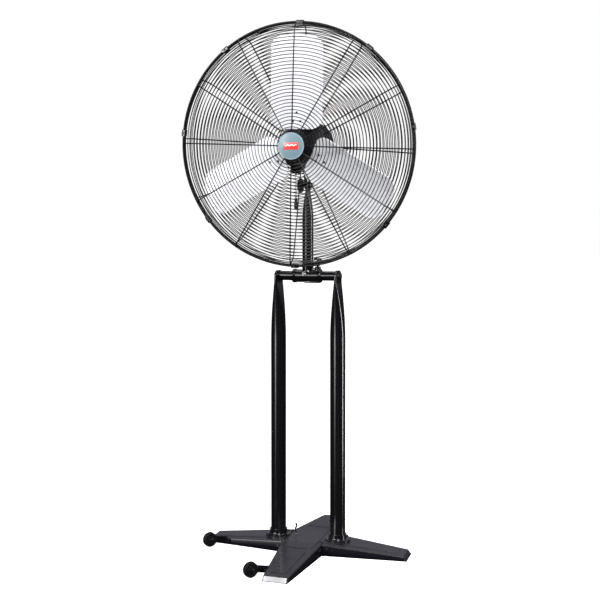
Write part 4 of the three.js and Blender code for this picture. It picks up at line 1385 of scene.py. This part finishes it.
@dataclass
class Motor:
    """The ribbed motor with its two end bells, covers and mounting ring."""

    radius: float = 0.084
    inside: float = 0.079
    front: float = -0.034
    back: float = 0.050
    nose: float = -0.050
    tail: float = 0.070
    fins: int = 60
    body: str = "head"

    def build(self) -> None:
        """Shell and bells, and finishes for what stays as it is."""
        place = motor_place()
        self.shell(place)
        self.front_bell(place)
        self.back_bell(place)
        dress_node("stator", LAMINATION)
        dress_node("rotor_core", LAMINATION)
        dress_node("bearing_front", ZINC, 0.0004)
        dress_node("bearing_back", ZINC, 0.0004)
        dress_node("motor_shaft", ZINC, 0.0006)
        dress_node("capacitor", CASE, 0.001)
        dress_node("capacitor_cover", MOTOR_PAINT, 0.0015)
        dress_node("cage_mount_ring", MOTOR_PAINT, 0.0006)
        dress_node("switch_housing", MOTOR_PAINT, 0.0012)
        dress_node("pull_switch", PLASTIC, 0.0004)
        dress_node("cord_gland", PLASTIC, 0.0006)
        heads = [hex_bolt((0.079 * cos(a), self.nose - 0.0043, 0.079 * sin(a)), (0, -1, 0), 0.0045, 0.003)
                 for a in turns(6) + pi / 6]
        add_piece("mount_ring_screws", together(*heads).moved(place), BLACKED, self.body)

    def shell(self, place: Place) -> None:
        """A drum with cooling ribs: the outer radius falls between them by a rounded square wave.

        Args:
            place: the motor's axes.
        """
        a = turns(self.fins * 8)
        wave = np.clip(2.2 * np.cos(self.fins * a), -1.0, 1.0)
        rib = self.radius - 0.0034 * (1 - wave) / 2
        plain = np.full_like(a, self.radius - 0.0002)
        inner = np.full_like(a, self.inside)
        rows = [(inner, self.front), (plain - 0.001, self.front), (plain, self.front + 0.001),
                (plain, self.front + 0.006), (rib, self.front + 0.0085), (rib, self.back - 0.0085),
                (plain, self.back - 0.006), (plain, self.back - 0.001), (plain - 0.001, self.back),
                (inner, self.back)]
        points = [np.stack([r * np.sin(a), np.full_like(a, y), r * np.cos(a)], axis=1) for r, y in rows]
        skin = grid(np.stack(points), wrap_rows=True, wrap_columns=True)
        add_piece("ribbed_shell", skin.moved(place), MOTOR_PAINT, self.body, ("motor_shell",))

    def ribs(self, y: float, way: float, inner: float, outer: float, count: int) -> Skin:
        """Raised bars like spokes on an end bell, each a small round-edged box.

        Args:
            y: place of the face that they stand on.
            way: which way the face looks along y.
            inner: where a bar starts.
            outer: where it ends.
            count: how many.

        Returns:
            The bars.
        """
        low, high = sorted((y - way * 0.002, y + way * 0.0022))
        bar = rounded_box((-0.0016, low, inner), (0.0016, high, outer), 0.0008, 2)
        return together(*[spun_about(bar, a) for a in turns(count)])

    def front_bell(self, place: Place) -> None:
        """The domed front with its bearing boss and bars.

        Args:
            place: the motor's axes.
        """
        edge = np.linspace(0.0, pi / 2, 8)
        dome = np.stack([0.072 + 0.012 * np.sin(edge), self.nose + 0.0115 * (1 - np.cos(edge))], axis=1)
        profile = np.concatenate([
            [(0.0100, -0.0452), (0.0100, self.nose - 0.004), (0.0105, self.nose - 0.0045),
             (0.0225, self.nose - 0.0045), (0.0245, self.nose - 0.003), (0.0255, self.nose),
             (0.06, self.nose)],
            dome,
            [(self.radius, self.front - GAP), (self.inside, self.front - GAP), (0.070, -0.045),
             (0.0215, -0.045)],
        ])
        skin = together(revolved(profile, 96, closed=True), self.ribs(self.nose, -1, 0.029, 0.060, 18))
        add_piece("front_bell_casting", skin.moved(place), MOTOR_PAINT, self.body, ("motor_front_bell",))

    def back_bell(self, place: Place) -> None:
        """The domed back with vent bars, a centre cap and four long bolts.

        Args:
            place: the motor's axes.
        """
        edge = np.linspace(0.0, pi / 2, 8)
        dome = np.stack([0.070 + 0.014 * np.cos(edge), self.tail - 0.013 * (1 - np.sin(edge))], axis=1)
        profile = np.concatenate([
            [(0.0, 0.0655), (0.0178, 0.0655), (0.0178, 0.054), (0.0218, 0.054), (0.0218, 0.066),
             (0.070, 0.066), (self.inside, 0.057), (self.inside, self.back + GAP),
             (self.radius, self.back + GAP)],
            dome,
            [(0.026, self.tail), (0.024, self.tail - 0.0002), (0.0, self.tail - 0.0002)],
        ])
        bars = self.ribs(self.tail - 0.0022, 1, 0.031, 0.066, 24)
        bolts = [hex_bolt((0.075 * cos(a), self.tail - 0.0035, 0.075 * sin(a)), (0, 1, 0), 0.005, 0.0035)
                 for a in turns(4) + pi / 4]
        add_piece("back_bell_casting", together(revolved(profile, 96), bars).moved(place), MOTOR_PAINT,
                  self.body, ("motor_back_bell",))
        add_piece("through_bolts", together(*bolts).moved(place), ZINC, self.body)


# ---------------------------------------------------------------- cage
@dataclass
class CageHalf:
    """One half of the wire cage: hoops welded inside a set of bent ribs."""

    node: str
    name: str
    bends: tuple[tuple[float, float], ...]
    inward: float
    first: float
    spokes: int = 12
    pitch: float = 0.0114
    wire: float = 0.00155
    turned: float = 0.0
    rib: float = 0.0021
    rim_wire: float = 0.004
    steps: int = 120

    def build(self, place: Place) -> None:
        """Rim, ribs and hoops as one welded piece.

        The ribs follow the bends as [radius, y]; the hoops lie at even distances along that line,
        pushed inwards by the two wires' radii.

        Args:
            place: the motor's axes.
        """
        line = softened(np.array(self.bends), 3)
        reach = np.concatenate([[0.0], np.cumsum(np.hypot(*np.diff(line, axis=0).T))])
        ribs = np.stack([0 * line[:, 0], line[:, 1], line[:, 0]], axis=1)
        rib = tube(ribs, (1, 0, 0), self.rib, 8)
        parts = [spun_about(rib, a) for a in turns(self.spokes) + pi / 2 - radians(self.turned)]
        rim_r, rim_y = self.bends[-1]
        parts.append(hoop(rim_r, rim_y, self.rim_wire, 144, 12))
        parts.append(hoop(*self.bends[0], self.rib, 72, 8))
        along = np.arange(self.first, reach[-1] - 0.006, self.pitch)
        slope = np.gradient(line, axis=0)
        slope /= np.linalg.norm(slope, axis=1, keepdims=True)
        offset = self.rib + self.wire - 0.0003
        for s in along:
            r, y = (np.interp(s, reach, line[:, k]) for k in (0, 1))
            dr, dy = (np.interp(s, reach, slope[:, k]) for k in (0, 1))
            parts.append(hoop(r - self.inward * offset * dy, y + self.inward * offset * dr, self.wire,
                              self.steps, 5))
        add_piece(self.name, together(*parts).moved(place), WIRE_PAINT, "head", (self.node,))


@dataclass
class Guard:
    """Both halves of the cage and the clips over their rims."""

    seam: float = -0.134
    rim: float = 0.409
    clip_half: float = radians(1.55)
    clip_angles: tuple[float, ...] = (85.5, 125.5, 172, 217, 268, 319, 7, 49.5)

    def build(self) -> None:
        """The two wire halves, then each clip with its screw."""
        place = motor_place()
        front = ((0.040, -0.1745), (0.385, -0.168), (0.399, -0.158), (self.rim, self.seam - 0.0043))
        back = ((0.089, -0.053), (0.380, -0.077), (0.401, -0.094), (self.rim, self.seam + 0.0043))
        CageHalf("guard_front", "front_grille", front, 1.0, 0.012, turned=3.1).build(place)
        CageHalf("guard_back", "back_grille", back, -1.0, 0.008, turned=5.3).build(place)
        for number, angle in enumerate(self.clip_angles, 1):
            self.clip(place, number, radians(angle))

    def hat(self, foot: float, top: float, deep: float, corner: float) -> Array:
        """A U lying on its side as [radius, y], from foot over top to foot, with softened corners."""
        rise = [(foot, -deep), (top - corner, -deep), (top, corner - deep)]
        return softened(rise + [(r, -y) for r, y in rise[::-1]], 2)

    def clip(self, place: Place, number: int, angle: float) -> None:
        """A bent strip over both rims: a U section carried a little way round the axis.

        Args:
            place: the motor's axes.
            number: the clip's number.
            angle: where it sits, from +x towards +z.
        """
        deep, top, foot = 0.0113, 0.4165, 0.404
        inner = 0.0022
        outer = self.hat(foot, top, deep, 0.004)
        lining = self.hat(foot, top - inner, deep - inner, 0.005 - inner)
        loop = np.concatenate([outer, lining[::-1]])
        turn = np.array([-1.0, -1.0, -0.5, 0.0, 0.5, 1.0, 1.0]) * self.clip_half
        r = np.repeat(loop[:, 0][None], len(turn), axis=0)
        y = np.repeat(loop[:, 1][None], len(turn), axis=0) + self.seam
        r[0] = r[-1] = top - inner / 2
        y[0] = y[-1] = self.seam
        strip = grid(np.stack([r * np.sin(turn)[:, None], y, r * np.cos(turn)[:, None]], axis=-1),
                     wrap_columns=True)
        screw = hex_bolt((0.0, self.seam - deep, foot + 0.0065), (0, -1, 0), 0.0036, 0.0026)
        add_piece(f"clip_strip_{number}", spun_about(strip, angle).moved(place), POST_PAINT, "head",
                  (f"rim_clip_{number}",))
        add_piece(f"clip_screw_{number}", spun_about(screw, angle).moved(place), BLACKED, "head")


@dataclass
class Badge:
    """The round cap at the cage's centre with a plain emblem."""

    radius: float = 0.046
    front: float = -0.182
    back: float = -0.177
    body: str = "head"

    def build(self) -> None:
        """The cap, its pale rim, and an oblong emblem with a wave across it."""
        place = motor_place()
        r, f, b = self.radius, self.front, self.back
        cap = [(0.0, b), (r - 0.001, b), (r - 0.0006, b - 0.001), (r - 0.002, f + 0.0012),
               (r - 0.0045, f + 0.0008), (0.0, f + 0.0004)]
        add_piece("cap_face", revolved(cap, 96).moved(place), BADGE_FACE, self.body, ("badge",))
        a = turns(14)
        edge = np.stack([r - 0.0026 + 0.0022 * np.cos(a), f + 0.0024 + 0.0022 * np.sin(a)], axis=1)
        add_piece("cap_rim", revolved(edge, 96, closed=True).moved(place), BADGE_EDGE, self.body)
        plate = rounded_box((-0.026, f - 0.0001, -0.0115), (0.026, f + 0.001, 0.0115), 0.0005, 3)
        add_piece("emblem_plate", plate.moved(place), EMBLEM_RED, self.body)
        x = np.linspace(-0.021, 0.021, 64)
        middle = 0.0028 + 0.0016 * np.sin(x * 2 * pi / 0.014)
        thick = 0.0017 * np.sqrt(np.clip(1 - (x / 0.0212) ** 6, 0.0, 1.0))
        rows = [(thick, f - 0.0001), (thick, f - 0.0004), (-thick, f - 0.0004), (-thick, f - 0.0001)]
        wave = [np.stack([x, np.full_like(x, y), middle + t], axis=1) for t, y in rows]
        skin = grid(np.stack(wave), wrap_rows=True)
        add_piece("emblem_wave", skin.moved(place), EMBLEM_WHITE, self.body)


# ---------------------------------------------------------------- blades
@dataclass
class Rotor:
    """Three sheet paddles riveted to a steel spider on the shaft."""

    inner: float = 0.057
    outer: float = 0.370
    half: float = 0.088
    sag: float = 0.012
    pitch: float = radians(20)
    y: float = -0.120
    root_corner: float = 0.040
    tip_corner: float = 0.048
    wall: float = 0.0018
    angles: tuple[float, ...] = (87.5, 207.5, 327.5)
    body: str = "rotor"

    def pitched(self, skin: Skin) -> Skin:
        """A surface turned by the blades' pitch about the radial line, and moved to their plane.

        Args:
            skin: the surface, drawn flat.

        Returns:
            The turned surface.
        """
        x, y, z = skin.points.T
        c, s = cos(self.pitch), sin(self.pitch)
        return Skin(np.stack([x * c - y * s, x * s + y * c + self.y, z], axis=1), skin.faces)

    def bow(self, x: Array) -> Array:
        """The blade's camber: a parabola across the chord."""
        return self.sag * (0.5 - (x / self.half) ** 2)

    def blade(self) -> Skin:
        """A bowed sheet with round corners, and two shallow beads pressed along it.

        At each radius the half width follows the corner circles; the camber is the parabola of bow.

        Returns:
            The open sheet.
        """
        bend = np.sin(np.linspace(-pi / 2, pi / 2, 60))
        z = ((self.inner + self.outer) / 2 + bend * (self.outer - self.inner) / 2)[:, None]
        near = np.clip(self.root_corner - (z - self.inner), 0.0, None)
        far = np.clip(self.tip_corner - (self.outer - z), 0.0, None)
        wide = self.half - self.root_corner + np.sqrt(self.root_corner**2 - near**2)
        wide = np.minimum(wide, self.half - self.tip_corner + np.sqrt(self.tip_corner**2 - far**2))
        x = wide * np.linspace(-1.0, 1.0, 56)
        reach = ramp(z, 0.10, 0.125) * (1 - ramp(z, 0.31, 0.335))
        bead = np.exp(-(((np.abs(x) - 0.046) / 0.004) ** 2)) * reach
        y = self.bow(x) - 0.0012 * bead
        return grid(np.stack([x, y, np.broadcast_to(z, x.shape)], axis=-1))

    def spider_arm(self) -> Skin:
        """A pressed arm with a raised spine, waisted towards the hub.

        The half width narrows with the cosine of the way along it.

        Returns:
            The closed bar.
        """
        z = np.linspace(0.012, 0.128, 40)[:, None]
        way = (z - z[0]) / (z[-1] - z[0])
        round_end = np.sqrt(np.clip(1 - (way - 0.04) ** 14, 0.05, 1))
        wide = 0.021 * (0.82 + 0.18 * np.cos(2 * pi * way)) * round_end
        u = np.linspace(-1.0, 1.0, 17)
        spine = 0.0028 * np.exp(-((u / 0.28) ** 2)) * np.sin(pi * way) ** 0.5
        x = wide * u
        front = self.bow(x) + 0.0058 - 0.3 * spine
        back = front + 0.004 + spine
        loop_x = np.concatenate([x, x[:, ::-1]], axis=1)
        loop_y = np.concatenate([front, back[:, ::-1]], axis=1)
        loop_z = np.broadcast_to(z, loop_x.shape)
        body = np.stack([loop_x, loop_y, loop_z], axis=-1)
        first, last = (np.repeat(body[i].mean(axis=0)[None, None], body.shape[1], axis=1) for i in (0, -1))
        return grid(np.concatenate([first, body, last]), wrap_columns=True)

    def rivets(self) -> Skin:
        """Three domed rivet heads through a blade's root into its arm.

        Returns:
            The heads as one surface.
        """
        heads = []
        for x, z in ((-0.0125, 0.083), (0.0125, 0.083), (0.0, 0.112)):
            a = np.linspace(0.0, pi / 2, 5)
            dome = np.stack([0.0042 * np.cos(a), -0.0026 * np.sin(a)], axis=1)
            profile = np.concatenate([[(0.0, 0.0015)], [(0.0042, 0.0015)], dome])
            head = revolved(profile, 14)
            heads.append(Skin(head.points + (x, float(self.bow(np.array(x))) - 0.0012, z), head.faces))
        return together(*heads)

    def build(self) -> None:
        """Each blade with its rivets, then the spider with its hub."""
        place = motor_place()
        blade, rivets, arm = (self.pitched(s) for s in (self.blade(), self.rivets(), self.spider_arm()))
        for number, angle in enumerate(self.angles, 1):
            a = radians(angle)
            add_piece(f"paddle_{number}", spun_about(blade, a).moved(place), BLADE_METAL, self.body,
                      (f"blade_{number}",), wall=self.wall)
            add_piece(f"blade_rivets_{number}", spun_about(rivets, a).moved(place), BLACKED, self.body)
        hub = [(0.0083, -0.135), (0.017, -0.136), (0.019, -0.134), (0.0195, -0.125), (0.021, -0.123),
               (0.021, -0.104), (0.0195, -0.102), (0.0083, -0.102)]
        arms = [spun_about(arm, radians(a)) for a in self.angles]
        hub_skin = revolved(hub, 64, closed=True)
        add_piece("spider_pressing", together(hub_skin, *arms).moved(place), MOTOR_PAINT, self.body,
                  ("blade_spider",))


def main() -> None:
    """Builds the fan's looks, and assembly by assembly."""
    logging.basicConfig(level=logging.INFO, format="%(name)s: %(message)s")
    Studio().build()
    PullChain().build()
    Base().build()
    for name in ("left", "front"):
        TransportWheel(name).build()
    Stand().build()
    SwingArm().build()
    TiltJoint().build()
    Motor().build()
    Guard().build()
    Badge().build()
    Rotor().build()


if __name__ == "__main__":
    main()
